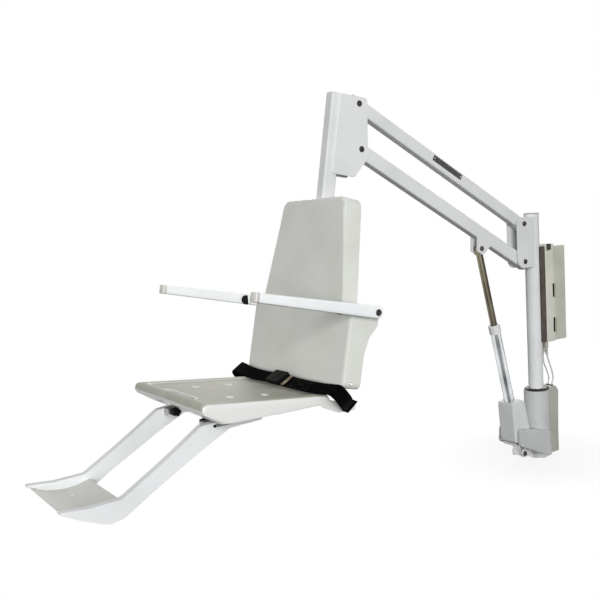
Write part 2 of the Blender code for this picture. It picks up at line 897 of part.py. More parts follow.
for side in (-1, 1):
    for number, height in enumerate(GRIP_HEIGHTS):
        inner = BOX_HALF - GRIP_DEPTH
        outer = BOX_HALF + FREE
        cut(
            battery,
            block(
                f"grip_{'right' if side < 0 else 'left'}_{number}",
                (min(side * inner, side * outer), -FREE, height - GRIP_HEIGHT / 2),
                (max(side * inner, side * outer), GRIP_WIDTH, height + GRIP_HEIGHT / 2),
                BOX,
                battery_axis,
            ),
        )
plug_low = BOX_LOW - GAP - PLUG_LENGTH
for name, (x, y) in (("plug_front", PLUG_FRONT_PLACE), ("plug_rear", PLUG_REAR_PLACE)):
    turned(
        name,
        [
            (0, PLUG_LENGTH),
            (PLUG_RADIUS, PLUG_LENGTH),
            (PLUG_RADIUS, PLUG_LENGTH * 0.35),
            (LEAD_RADIUS * 1.5, 0),
            (0, 0),
        ],
        SHELL,
        at=(x, y, plug_low),
        sides=14,
    )
lead_slack = GAP + LEAD_RADIUS * 0.35
lead_start = plug_low - lead_slack
lead_end = REAR_COVER_TOP + lead_slack
drop = lead_start - lead_end
for name, (x, y), across, swings in (
    ("lead_front", PLUG_FRONT_PLACE, 0.026, ((0.35, 0.15), (0.6, 0.85), (0.82, 1.3))),
    ("lead_rear", PLUG_REAR_PLACE, 0.028, ((0.25, 0.35), (0.55, 1.05), (0.8, 1.4))),
):
    route = [(x, y, lead_start)]
    route += [(x, y + across * far, lead_start - drop * down) for down, far in swings]
    route.append((x, y + across, lead_end))
    wire(name, route, LEAD_RADIUS, LEAD)

# Arms: rectangular tubes with a sleeve welded through each end
low_axis = empty("lower_arm_axis", (0, -PIN_OFFSET, PIN_LOW), (-ARM_ANGLE, 0, 0))
high_axis = empty("upper_arm_axis", (0, -PIN_OFFSET, pin_high), (-ARM_ANGLE, 0, 0))
head_inner = POST_HALF + RUN


def arm(name, height, holder):
    middle = (0, -ARM_LENGTH / 2, 0)
    half_length = ARM_LENGTH / 2 + ARM_END
    section = tube_section(-ARM_HALF, -height / 2, ARM_HALF, height / 2, TUBE_CORNER)
    made = slab(name, section, half_length, WHITE, holder, middle, FACE_ON)
    inner_half = ARM_HALF - ARM_WALL
    inner_high = height / 2 - ARM_WALL
    bore = tube_section(-inner_half, -inner_high, inner_half, inner_high, TUBE_CORNER - ARM_WALL)
    cut(made, slab(name + "_hollow", bore, half_length + FREE, WHITE, holder, middle, FACE_ON))
    for end, place_y, half in (("rear", 0, BRACKET_INNER), ("front", -ARM_LENGTH, head_inner)):
        at = (0, place_y, 0)
        reach = half - RUN
        sleeve = rod(SLEEVE_RADIUS, -reach, reach)
        join(made, turned(f"{name}_{end}_sleeve", sleeve, WHITE, holder, at, ALONG_X))
        hole = rod(PIN_RADIUS + RUN, -half - FREE, half + FREE)
        cut(made, turned(f"{name}_{end}_hole", hole, WHITE, holder, at, ALONG_X, sides=14))
    return made


lower_arm = arm("lower_arm", LOWER_ARM_HEIGHT, low_axis)
arm("upper_arm", UPPER_ARM_HEIGHT, high_axis)
lug_middle = ARM_HALF - ARM_WALL / 2
lug_root = -LOWER_ARM_HEIGHT / 2 + 2 * ARM_WALL
for side in ("left", "right"):
    sign = 1 if side == "left" else -1
    lug = plate(
        f"lug_{side}",
        rounded(
            [
                (-LUG_ALONG - 2.2 * LUG_ROUND, lug_root, 0),
                (-LUG_ALONG - LUG_ROUND, -LUG_BELOW - LUG_ROUND, 0.014),
                (-LUG_ALONG + LUG_ROUND, -LUG_BELOW - LUG_ROUND, 0.014),
                (-LUG_ALONG + 2.2 * LUG_ROUND, lug_root, 0),
            ]
        ),
        LUG_PLATE / 2,
        WHITE,
        [circle(-LUG_ALONG, -LUG_BELOW, LUG_PIN_RADIUS + GAP)],
        low_axis,
        (sign * lug_middle, 0, 0),
    )
    join(lower_arm, lug)
    inner = -LUG_PLATE / 2
    outer = LUG_PLATE / 2 + GAP
    turned(
        f"lug_bolt_{side}",
        [
            (0, outer + BOLT_HEAD_THICK),
            (LUG_HEAD_RADIUS * 0.6, outer + BOLT_HEAD_THICK),
            (LUG_HEAD_RADIUS, outer + BOLT_HEAD_THICK * 0.55),
            (LUG_HEAD_RADIUS, outer),
            (LUG_PIN_RADIUS, outer),
            (LUG_PIN_RADIUS, inner),
            (0, inner),
        ],
        BLACK,
        low_axis,
        (sign * lug_middle, -LUG_ALONG, -LUG_BELOW),
        (0, sign * pi / 2, 0),
        14,
    )

# Actuator, along its own axis from the foot pin
lug_y = -PIN_OFFSET - LUG_ALONG * cos(ARM_ANGLE) - LUG_BELOW * sin(ARM_ANGLE)
lug_z = PIN_LOW + LUG_ALONG * sin(ARM_ANGLE) - LUG_BELOW * cos(ARM_ANGLE)
actuator_tilt = atan2(FOOT_PIN_Y - lug_y, lug_z - FOOT_PIN_Z)
actuator_length = hypot(lug_y - FOOT_PIN_Y, lug_z - FOOT_PIN_Z)
actuator_axis = empty("actuator_axis", (0, FOOT_PIN_Y, FOOT_PIN_Z), (actuator_tilt, 0, 0))
neck = TUBE_RADIUS + FREE
housing = slab(
    "actuator_housing",
    rounded(
        [
            (HOUSING_REAR, HOUSING_LOW, 0.01),
            (HOUSING_REAR, HOUSING_SHOULDER, 0),
            (neck, HOUSING_TOP, 0),
            (-neck, HOUSING_TOP, 0),
            (-HOUSING_FRONT_HIGH, HOUSING_SHOULDER, 0),
            (-HOUSING_FRONT_LOW, HOUSING_LOW, 0.012),
        ]
    ),
    HOUSING_HALF,
    COVER,
    actuator_axis,
    rim=0.008,
)
tube_low = DRIVE_MOTOR_TOP + GAP
cut(
    housing,
    turned(
        "housing_hollow",
        [
            (0, HOUSING_TOP + FREE),
            (TUBE_RADIUS + GAP, HOUSING_TOP + FREE),
            (TUBE_RADIUS + GAP, tube_low),
            (DRIVE_MOTOR_RADIUS + GAP, tube_low),
            (DRIVE_MOTOR_RADIUS + GAP, HOUSING_LOW - FREE),
            (0, HOUSING_LOW - FREE),
        ],
        COVER,
        actuator_axis,
    ),
)
foot_top = HOUSING_LOW - GAP
foot_low = foot_top - FOOT_PLATE_THICK
foot = block(
    "actuator_foot",
    (-HOUSING_HALF + FREE, -HOUSING_FRONT_LOW + 2 * FREE, foot_low),
    (HOUSING_HALF - FREE, HOUSING_REAR - FREE, foot_top),
    STEEL,
    actuator_axis,
    rim=0.003,
)
join(
    foot,
    slab(
        "actuator_foot_eye",
        rounded(
            [
                (-EYE_RADIUS, -EYE_RADIUS, EYE_RADIUS * 0.95),
                (EYE_RADIUS, -EYE_RADIUS, EYE_RADIUS * 0.95),
                (EYE_RADIUS, foot_low + FREE, 0),
                (-EYE_RADIUS, foot_low + FREE, 0),
            ],
            6,
        ),
        FOOT_HALF,
        STEEL,
        actuator_axis,
    ),
)
cut(
    foot,
    turned(
        "actuator_foot_hole",
        rod(PIN_RADIUS + RUN, -FOOT_HALF - FREE, FOOT_HALF + FREE),
        STEEL,
        actuator_axis,
        turn=ALONG_X,
        sides=14,
    ),
)
turned(
    "actuator_motor",
    rod(DRIVE_MOTOR_RADIUS, foot_top + GAP, DRIVE_MOTOR_TOP),
    BLACK,
    actuator_axis,
)
tube_inner = TUBE_RADIUS - TUBE_WALL
tube_base = tube_low + GAP
turned("actuator_tube", ring(TUBE_RADIUS, tube_inner, tube_base, TUBE_TOP), WHITE, actuator_axis)
turned(
    "rod_gland",
    [
        (GLAND_RADIUS - 0.003, GLAND_TOP),
        (GLAND_RADIUS, GLAND_TOP - 0.003),
        (GLAND_RADIUS, GLAND_LOW),
        (TUBE_RADIUS + GAP, GLAND_LOW),
        (TUBE_RADIUS + GAP, TUBE_TOP + GAP),
        (ROD_RADIUS + RUN, TUBE_TOP + GAP),
        (ROD_RADIUS + RUN, GLAND_TOP),
    ],
    WHITE,
    actuator_axis,
)
bearing_low = tube_base + RUN
turned(
    "screw_bearing",
    ring(tube_inner - GAP, SCREW_RADIUS + RUN, bearing_low, bearing_low + BEARING_THICK),
    STEEL,
    actuator_axis,
)
screw_axis = empty("screw_axis", (0, 0, tube_base), holder=actuator_axis)
turned("lead_screw", rod(SCREW_RADIUS, 0, SCREW_TOP - tube_base), STEEL, screw_axis, sides=14)
rod_axis = empty("rod_axis", (0, 0, actuator_length), holder=actuator_axis)
actuator_rod = turned(
    "actuator_rod",
    [
        (0, -ROD_END + ROD_EYE_RADIUS / 2),
        (ROD_RADIUS, -ROD_END + ROD_EYE_RADIUS / 2),
        (ROD_RADIUS, -ROD_LENGTH),
        (ROD_BORE, -ROD_LENGTH),
        (ROD_BORE, -ROD_END),
        (0, -ROD_END),
    ],
    STEEL,
    rod_axis,
)
eye_half = ARM_HALF - ARM_WALL - 2 * RUN
join(
    actuator_rod,
    slab(
        "rod_eye",
        rounded(
            [
                (-ROD_EYE_RADIUS, -ROD_END + GAP, 0),
                (ROD_EYE_RADIUS, -ROD_END + GAP, 0),
                (ROD_EYE_RADIUS, ROD_EYE_RADIUS, ROD_EYE_RADIUS * 0.95),
                (-ROD_EYE_RADIUS, ROD_EYE_RADIUS, ROD_EYE_RADIUS * 0.95),
            ],
            6,
        ),
        eye_half,
        STEEL,
        rod_axis,
    ),
)
cut(
    actuator_rod,
    turned(
        "rod_eye_hole",
        rod(LUG_PIN_RADIUS + RUN, -eye_half - FREE, eye_half + FREE),
        STEEL,
        rod_axis,
        turn=ALONG_X,
        sides=14,
    ),
)
nut_top = -ROD_LENGTH - GAP
turned(
    "screw_nut",
    ring(ROD_RADIUS, SCREW_RADIUS + RUN, nut_top - NUT_THICK, nut_top),
    BRONZE,
    rod_axis,
)

# Chair: level frame and leaned frame, both on the lower head pin
chair_y = -PIN_OFFSET - ARM_LENGTH * cos(ARM_ANGLE)
chair_z = PIN_LOW + ARM_LENGTH * sin(ARM_ANGLE)
chair_axis = empty("chair_axis", (0, chair_y, chair_z))
lean = empty("chair_lean", (0, 0, 0), (-RECLINE, 0, 0), chair_axis)


def level(y, z):
    """A point of the leaned frame in the level one."""
    return (y * cos(RECLINE) + z * sin(RECLINE), z * cos(RECLINE) - y * sin(RECLINE))


post_back = POST_DEPTH - POST_FRONT
post_section = tube_section(-POST_HALF, -POST_FRONT, POST_HALF, post_back, TUBE_CORNER)
post_half = (POST_TOP + POST_BOTTOM) / 2
post_middle = (0, 0, (POST_TOP - POST_BOTTOM) / 2)
post = slab("chair_post", post_section, post_half, WHITE, lean, post_middle, UPRIGHT)
post_bore = tube_section(
    POST_WALL - POST_HALF,
    POST_WALL - POST_FRONT,
    POST_HALF - POST_WALL,
    post_back - POST_WALL,
    TUBE_CORNER - POST_WALL,
)
bore_middle = (0, 0, post_middle[2] - POST_WALL)
cut(post, slab("post_hollow", post_bore, post_half, WHITE, lean, bore_middle, UPRIGHT))
upper_y = -PIN_SPACING * sin(RECLINE)
upper_z = PIN_SPACING * cos(RECLINE)
head_outline = rounded(
    [
        (post_back - HEAD_LAP, POST_TOP, 0.004),
        (post_back - HEAD_LAP, -HEAD_LOW - 0.004, 0.004),
        (-HEAD_REAR / 2, -HEAD_LOW, 0.01),
        (HEAD_REAR, -BRACKET_RISE, 0.008),
        (upper_y + HEAD_REAR, upper_z + BRACKET_RISE, 0.012),
    ]
)
head_outer = head_inner + HEAD_PLATE
for side in ("left", "right"):
    sign = 1 if side == "left" else -1
    plate(
        f"head_plate_{side}",
        head_outline,
        HEAD_PLATE / 2,
        WHITE,
        [circle(0, 0, PIN_RADIUS + GAP), circle(upper_y, upper_z, PIN_RADIUS + GAP)],
        lean,
        (sign * (head_inner + HEAD_PLATE / 2), 0, 0),
    )
for name, y, z in (("head_pin_upper", upper_y, upper_z), ("head_pin_lower", 0, 0)):
    turned(
        name,
        bolt(PIN_RADIUS, head_outer + GAP, BOLT_HEAD_RADIUS, BOLT_HEAD_THICK),
        BLACK,
        lean,
        (0, y, z),
        ALONG_X,
        14,
    )

# Backrest: one shell with a rolled front edge, pads on the post, and an ear for each armrest
back = empty("back_frame", (0, -BACK_FRONT, -BACK_MIDDLE), (-BACK_LEAN, 0, 0), lean)
back_corners = [
    (-BACK_HALF, -BACK_BOTTOM, 0.02),
    (BACK_HALF, -BACK_BOTTOM, 0.02),
    (BACK_HALF, -BACK_STEP, 0.02),
    (BACK_STEP_HALF, -BACK_STEP, 0.012),
    (BACK_TOP_HALF, BACK_TOP, 0.035),
    (-BACK_TOP_HALF, BACK_TOP, 0.035),
    (-BACK_STEP_HALF, -BACK_STEP, 0.012),
    (-BACK_HALF, -BACK_STEP, 0.02),
]
backrest = slab(
    "backrest",
    rounded(back_corners),
    BACK_DEPTH / 2,
    CHAIR,
    back,
    (0, BACK_DEPTH / 2, 0),
    FACE_ON,
    0.009,
    (1,),
)
cut(
    backrest,
    slab(
        "backrest_hollow",
        rounded(inset(back_corners, [BACK_WALL] * 8)),
        BACK_DEPTH / 2,
        CHAIR,
        back,
        (0, BACK_DEPTH / 2 + BACK_WALL, 0),
        FACE_ON,
        0.006,
        (1,),
    ),
)
for number, height in enumerate(BACK_PADS):
    join(
        backrest,
        block(
            f"backrest_pad_{number}",
            (-BACK_PAD_HALF, BACK_WALL / 2, height - BACK_PAD_HALF),
            (BACK_PAD_HALF, BACK_FRONT - POST_FRONT + 2 * FREE, height + BACK_PAD_HALF),
            CHAIR,
            back,
        ),
    )
cut(
    backrest,
    block(
        "backrest_post_way",
        (-POST_HALF - GAP, -POST_FRONT - GAP, -POST_BOTTOM),
        (POST_HALF + GAP, BACK_DEPTH, POST_TOP),
        CHAIR,
        lean,
    ),
)
pivot_back = BACK_FRONT - ARM_PIVOT_BACK
pivot_up = BACK_MIDDLE - ARM_PIVOT_DOWN
pivot_y = pivot_back * cos(BACK_LEAN) - pivot_up * sin(BACK_LEAN)
pivot_z = pivot_back * sin(BACK_LEAN) + pivot_up * cos(BACK_LEAN)
for side in ("left", "right"):
    sign = 1 if side == "left" else -1
    ear = plate(
        f"backrest_ear_{side}",
        rounded(
            [
                (BACK_DEPTH - 0.022, pivot_z + 0.020, 0.006),
                (BACK_DEPTH - 0.022, -BACK_STEP - 0.16, 0),
                (BACK_DEPTH - 0.006, -BACK_STEP - 0.16, 0),
                (pivot_y + 0.002, pivot_z - 0.080, 0.01),
                (pivot_y + 0.030, pivot_z - 0.040, 0.012),
                (pivot_y + 0.030, pivot_z + 0.020, 0.014),
            ]
        ),
        EAR_PLATE / 2 - GAP,
        CHAIR,
        [circle(pivot_y, pivot_z, ARM_BOLT_RADIUS + GAP)],
        back,
        (sign * (BACK_HALF - EAR_PLATE / 2), 0, 0),
    )
    join(backrest, ear)

# Armrests, each turning on a bolt through its ear
armrest_inner = BACK_HALF + ARMREST_GAP
armrest_outer = armrest_inner + ARMREST_THICK
armrest_middle = (armrest_inner + armrest_outer) / 2
shoulder_y = -BACK_FRONT + ARM_PIVOT_BACK
shoulder_z = ARM_PIVOT_DOWN - BACK_MIDDLE - BACK_STEP
for side in ("left", "right"):
    sign = 1 if side == "left" else -1
    axis = empty(f"armrest_{side}_axis", (0, -ARM_PIVOT_BACK, -ARM_PIVOT_DOWN), (0, 0, 0), lean)
    tail = ARM_PIVOT_BACK - ARMREST_TAIL
    tip = ARM_PIVOT_BACK - ARMREST_TIP
    top = ARM_PIVOT_DOWN - ARMREST_TOP
    armrest = slab(
        f"armrest_{side}",
        rounded(
            [
                (tail, top, 0.014),
                (tip, top, 0.011),
                (tip, ARM_PIVOT_DOWN - ARMREST_FRONT_LOW, 0.011),
                (tail, ARM_PIVOT_DOWN - ARMREST_REAR_LOW, 0.015),
            ]
        ),
        ARMREST_THICK / 2,
        CHAIR,
        axis,
        (sign * armrest_middle, 0, 0),
        rim=0.006,
    )
    cut(
        armrest,
        turned(
            f"armrest_{side}_hole",
            rod(ARM_BOLT_RADIUS + RUN, -ARMREST_THICK, ARMREST_THICK),
            CHAIR,
            axis,
            (sign * armrest_middle, 0, 0),
            ALONG_X,
            14,
        ),
    )
    ear_inner = BACK_HALF - EAR_PLATE
    bolt_half = (armrest_outer - ear_inner) / 2 + GAP
    turned(
        f"armrest_bolt_{side}",
        bolt(ARM_BOLT_RADIUS, bolt_half, BOLT_HEAD_RADIUS, BOLT_HEAD_THICK),
        BLACK,
        lean,
        (sign * (armrest_outer + ear_inner) / 2, -ARM_PIVOT_BACK, -ARM_PIVOT_DOWN),
        ALONG_X,
        14,
    )
    stop_outer = armrest_inner - GAP
    stop = turned(
        f"armrest_stop_{side}",
        [
            (0, STOP_DEPTH),
            (STOP_RADIUS * 0.75, STOP_DEPTH),
            (STOP_RADIUS, STOP_DEPTH * 0.7),
            (STOP_RADIUS, 0),
            (0, 0),
        ],
        BLACK,
        axis,
        (sign * stop_outer, -STOP_FORWARD, 0),
        (0, -sign * pi / 2, 0),
        24,
    )
    ledge_low = shoulder_z + FREE / 2
    ledge_x = (stop_outer - STOP_DEPTH * 0.95, stop_outer - GAP)
    join(
        stop,
        block(
            f"stop_ledge_{side}",
            (min(sign * ledge_x[0], sign * ledge_x[1]), -STOP_FORWARD, ledge_low),
            (max(sign * ledge_x[0], sign * ledge_x[1]), shoulder_y + 0.03, top - FREE / 2),
            BLACK,
            axis,
        ),
    )

# Seat: a wedge-shaped pan, open below, with a hand slot, drain holes and belt anchors
seat_axis = empty("seat_frame_axis", (0, -SEAT_BACK, -SEAT_DOWN), holder=chair_axis)
slope = SEAT_RISE / SEAT_LENGTH
seat_round = SEAT_RIM * 1.1
lip_low = SEAT_RISE + SEAT_RIM_UP - SEAT_LIP
seat_corners = [
    (0, -SEAT_REAR_DEPTH, 0),
    (0, SEAT_RIM_UP, seat_round),
    (-SEAT_LENGTH, SEAT_RISE + SEAT_RIM_UP, seat_round),
    (-SEAT_LENGTH + SEAT_LIP_BACK, lip_low, seat_round),
    (SEAT_FRONT_BACK - SEAT_LENGTH, -SEAT_FRONT_LOW, 0),
]
seat_deep = inset(seat_corners, (0, 0, 0, 0, -SEAT_RIM - FREE))
seat = slab("seat", rounded(seat_deep), SEAT_HALF, CHAIR, seat_axis, rim=SEAT_RIM)
seat_roof = SEAT_DISH + SEAT_WALL
seat_inner = inset(seat_corners, (SEAT_WALL, seat_roof, SEAT_WALL, SEAT_WALL, -SEAT_RIM - 3 * FREE))
seat_hollow = [(u, v) for u, v, radius in seat_inner]
cut(seat, slab("seat_hollow", seat_hollow, SEAT_HALF - SEAT_WALL, CHAIR, seat_axis))
below = [seat_corners[4][:2], seat_corners[0][:2]]
fall = (below[0][1] - below[1][1]) / below[0][0]
far_y = -SEAT_LENGTH - SEAT_RIM
cut(
    seat,
    slab(
        "seat_underside",
        [
            (far_y, below[1][1] + fall * far_y - 5 * SEAT_RIM),
            (5 * SEAT_RIM, below[1][1] - 5 * SEAT_RIM),
            (5 * SEAT_RIM, below[1][1] + fall * 5 * SEAT_RIM),
            (far_y, below[1][1] + fall * far_y),
        ],
        SEAT_HALF + FREE,
        CHAIR,
        seat_axis,
    ),
)
dish_half = SEAT_HALF - SEAT_DISH_EDGE
cut(
    seat,
    slab(
        "seat_dish",
        rounded(
            [
                (-dish_half, SEAT_DISH_EDGE - SEAT_LENGTH, SEAT_DISH_ROUND),
                (dish_half, SEAT_DISH_EDGE - SEAT_LENGTH, SEAT_DISH_ROUND),
                (dish_half, -SEAT_DISH_EDGE, SEAT_DISH_ROUND),
                (-dish_half, -SEAT_DISH_EDGE, SEAT_DISH_ROUND),
            ]
        ),
        SEAT_DISH * 2,
        CHAIR,
        seat_axis,
        (0, 0, SEAT_RIM_UP + SEAT_DISH),
        (-atan2(SEAT_RISE, SEAT_LENGTH), 0, 0),
        SEAT_DISH,
        (-1,),
    ),
)
cut(
    seat,
    slab(
        "seat_front_arch",
        rounded(
            [
                (-SEAT_ARCH_HALF, -SEAT_FRONT_LOW - FREE, 0),
                (SEAT_ARCH_HALF, -SEAT_FRONT_LOW - FREE, 0),
                (SEAT_ARCH_HALF, lip_low - FREE, SEAT_ARCH_ROUND),
                (-SEAT_ARCH_HALF, lip_low - FREE, SEAT_ARCH_ROUND),
            ]
        ),
        SEAT_FRONT_BACK,
        CHAIR,
        seat_axis,
        (0, -SEAT_LENGTH, 0),
        FACE_ON,
    ),
)
slot_y = HAND_SLOT_BACK - SEAT_LENGTH
cut(
    seat,
    slab(
        "hand_slot",
        stadium(0, slot_y, HAND_SLOT_HALF, HAND_SLOT_WIDTH / 2),
        3 * SEAT_WALL,
        CHAIR,
        seat_axis,
        (0, 0, -slot_y * slope),
        (0, 0, 0),
    ),
)
for number, back_y in enumerate(DRAIN_BACKS):
    for side in (-1, 1):
        cut(
            seat,
            turned(
                f"drain_{number}_{'right' if side < 0 else 'left'}",
                rod(DRAIN_RADIUS, -3 * SEAT_WALL, 3 * SEAT_WALL),
                CHAIR,
                seat_axis,
                (side * DRAIN_HALF, -back_y, back_y * slope),
                sides=14,
            ),
        )
for side in ("left", "right"):
    sign = 1 if side == "left" else -1
    join(
        seat,
        slab(
            f"belt_anchor_{side}",
            rounded(
                [
                    (-0.036, -SEAT_REAR_DEPTH / 2, 0),
                    (-0.036, -SEAT_REAR_DEPTH - 0.006, 0.004),
                    (0.024, -ANCHOR_LOW, 0.008),
                    (ANCHOR_BACK, -ANCHOR_LOW - 0.004, 0.01),
                    (ANCHOR_BACK, -SEAT_REAR_DEPTH - 0.012, 0.01),
                    (0.004, -SEAT_REAR_DEPTH / 2, 0),
                ]
            ),
            ANCHOR_PLATE / 2 - GAP,
            CHAIR,
            seat_axis,
            (sign * (SEAT_HALF - ANCHOR_PLATE / 2), 0, 0),
        ),
    )

# Seat frame: beam under the post's foot, two cross bars with pads, and the footrest's rails
post_rear = level(POST_DEPTH - POST_FRONT, -POST_BOTTOM)
beam_top = post_rear[1] + SEAT_DOWN - GAP
beam_back = post_rear[0] + SEAT_BACK + 2 * FREE
rail_low = -RAIL_TOP - RAIL_HEIGHT
rail_outer = LEG_INNER - GAP
frame = block(
    "seat_frame",
    (-BEAM_HALF, -CROSS_REAR, beam_top - BEAM_HEIGHT),
    (BEAM_HALF, beam_back, beam_top),
    STEEL,
    seat_axis,
)
for number, back_y in enumerate((CROSS_REAR, CROSS_FRONT)):
    join(
        frame,
        block(
            f"cross_bar_{number}",
            (-rail_outer + RUN, -back_y - CROSS_HALF, rail_low + RUN),
            (rail_outer - RUN, -back_y + CROSS_HALF, -RAIL_TOP - RUN),
            STEEL,
            seat_axis,
        ),
    )
    pad_top = (back_y - CROSS_HALF) * slope + SEAT_RIM_UP - seat_roof * sqrt(1 + slope * slope) - RUN
    join(
        frame,
        block(
            f"cross_pad_{number}",
            (-CROSS_PAD_HALF, -back_y - CROSS_HALF + RUN, -RAIL_TOP - FREE),
            (CROSS_PAD_HALF, -back_y + CROSS_HALF - RUN, pad_top),
            STEEL,
            seat_axis,
        ),
    )
for side in ("left", "right"):
    sign = 1 if side == "left" else -1
    edges = (sign * (rail_outer - RAIL_WIDTH), sign * rail_outer)
    join(
        frame,
        block(
            f"rail_{side}",
            (min(edges), -RAIL_FRONT, rail_low),
            (max(edges), -RAIL_REAR, -RAIL_TOP),
            STEEL,
            seat_axis,
        ),
    )
    cut(
        frame,
        turned(
            f"rail_hole_{side}",
            rod(STUD_RADIUS + RUN, -RAIL_WIDTH, RAIL_WIDTH),
            STEEL,
            seat_axis,
            (sign * (rail_outer - RAIL_WIDTH / 2), -STUD_BACK, -STUD_DOWN),
            ALONG_X,
            16,
        ),
    )

# Footrest: two side plates with a slot for the knob's stud, and a dished foot plate between them
leg_top = -RAIL_TOP
leg_outline = rounded(
    [
        (-0.202, leg_top, 0.006),
        (-0.370, leg_top, 0.02),
        (-0.404, leg_top - 0.003, 0.012),
        (-0.473, -0.069, 0),
        (-0.537, -0.108, 0.03),
        (-0.650, -0.173, 0.03),
        (-0.742, -0.175, 0.04),
        (-0.818, -0.167, 0.003),
        (-0.820, -0.173, 0.003),
        (-0.757, -0.207, 0.02),
        (-0.691, -0.233, 0.02),
        (-0.648, -0.226, 0.03),
        (-0.572, -0.181, 0.03),
        (-0.413, -0.096, 0.03),
        (-0.311, -0.047, 0.03),
        (-0.202, leg_top - RAIL_HEIGHT, 0.006),
    ]
)
slot_middle = (-STUD_BACK + SLOT_TRAVEL / 2, -STUD_DOWN)
slot_reach = SLOT_TRAVEL / 2 + STUD_RADIUS + RUN
foot_axis = empty("footrest_axis", (0, 0, 0), holder=seat_axis)
for side in ("left", "right"):
    sign = 1 if side == "left" else -1
    plate(
        f"footrest_leg_{side}",
        leg_outline,
        LEG_THICK / 2,
        CHAIR,
        [stadium(*slot_middle, slot_reach, STUD_RADIUS + RUN)],
        foot_axis,
        (sign * (LEG_INNER + LEG_THICK / 2), 0, 0),
    )
foot_top_line = [
    (-0.641, -0.188),
    (-0.669, -0.196),
    (-0.704, -0.200),
    (-0.739, -0.1985),
    (-0.774, -0.192),
    (-0.812, -0.173),
]
foot_plate = slab(
    "foot_plate",
    [(u, v) for u, v in foot_top_line] + [(u + 0.0015, v - FOOT_SHEET) for u, v in reversed(foot_top_line)],
    LEG_INNER - GAP,
    CHAIR,
    foot_axis,
)
for side in (-1, 1):
    cut(
        foot_plate,
        turned(
            f"foot_hole_{'right' if side < 0 else 'left'}",
            rod(FOOT_HOLE_RADIUS, -3 * FOOT_SHEET, 3 * FOOT_SHEET),
            CHAIR,
            foot_axis,
            (side * FOOT_HOLE_HALF, foot_top_line[2][0] - 0.015, foot_top_line[2][1]),
            sides=14,
        ),
    )

# Star knobs inside the rails
knob_outline = [
    (
        (KNOB_RADIUS - 0.002 + 0.002 * cos(5 * 2 * pi * k / 30)) * cos(2 * pi * k / 30),
        (KNOB_RADIUS - 0.002 + 0.002 * cos(5 * 2 * pi * k / 30)) * sin(2 * pi * k / 30),
    )
    for k in range(30)
]
knob_inner = rail_outer - RAIL_WIDTH - GAP - KNOB_THICK
stud_out = LEG_INNER + LEG_THICK + 0.0015
for side in ("left", "right"):
    sign = 1 if side == "left" else -1
    axis = empty(f"knob_{side}_axis", (0, -STUD_BACK, -STUD_DOWN), holder=seat_axis)
    knob = slab(
        f"knob_{side}",
        knob_outline,
        KNOB_THICK / 2,
        BLACK,
        axis,
        (sign * (knob_inner + KNOB_THICK / 2), 0, 0),
    )
    stud_half = (stud_out - knob_inner - KNOB_THICK / 2) / 2
    join(
        knob,
        turned(
            f"knob_stud_{side}",
            rod(STUD_RADIUS, -stud_half, stud_half),
            BLACK,
            axis,
            (sign * (stud_out - stud_half), 0, 0),
            ALONG_X,
            16,
        ),
    )

# Belt: two straps that lie along the seat's rear edge and drop to the anchors, joined by a buckle
belt = empty("belt_frame", (0, -BELT_FORWARD, BELT_UP), holder=seat_axis)


def strap(name, route):
    """A band along (x, y, z, lean) points of its middle line, its width leaning back by lean."""
    verts = []
    for x, y, z, tilt in route:
        side_y = cos(tilt) * BELT_WIDTH / 2
        side_z = sin(tilt) * BELT_WIDTH / 2
        verts += [(x, y - side_y, z - side_z), (x, y + side_y, z + side_z)]
    faces = [(2 * i, 2 * i + 1, 2 * i + 3, 2 * i + 2) for i in range(len(route) - 1)]
    mesh = bpy.data.meshes.new(name)
    mesh.from_pydata(verts, [], faces)
    made = place(name, mesh, WEB, belt)
    thick = made.modifiers.new("thickness", "SOLIDIFY")
    thick.thickness = BELT_THICK
    thick.offset = 0
    thick.use_even_offset = True
    return made


anchor_x = SEAT_HALF - GAP + RUN + BELT_THICK / 2
buckle_left = BUCKLE_X + BUCKLE_LENGTH / 2 + GAP
buckle_right = BUCKLE_X - BUCKLE_LENGTH / 2 - GAP
fold_lean = radians(32)
tail_lean = radians(36)
strap(
    "belt_left",
    [
        (buckle_left, 0, 0.002, BELT_LEAN),
        (SEAT_HALF - 0.157, 0.001, 0, BELT_LEAN),
        (SEAT_HALF - 0.082, 0.003, -0.0005, BELT_LEAN),
        (SEAT_HALF - 0.027, 0.007, 0, BELT_LEAN),
        (SEAT_HALF + 0.013, 0.0125, 0.002, BELT_LEAN),
        (SEAT_HALF + 0.036, 0.0135, 0.003, BELT_LEAN),
        (SEAT_HALF + 0.048, 0.017, -0.003, fold_lean),
        (SEAT_HALF + 0.052, 0.026, -0.015, fold_lean),
        (SEAT_HALF + 0.046, 0.042, -0.031, fold_lean),
        (SEAT_HALF + 0.030, 0.062, -0.047, tail_lean),
        (SEAT_HALF + 0.010, 0.080, -0.059, tail_lean),
        (anchor_x, 0.092, -0.0645, tail_lean),
        (anchor_x, 0.106, -0.0715, tail_lean),
    ],
)
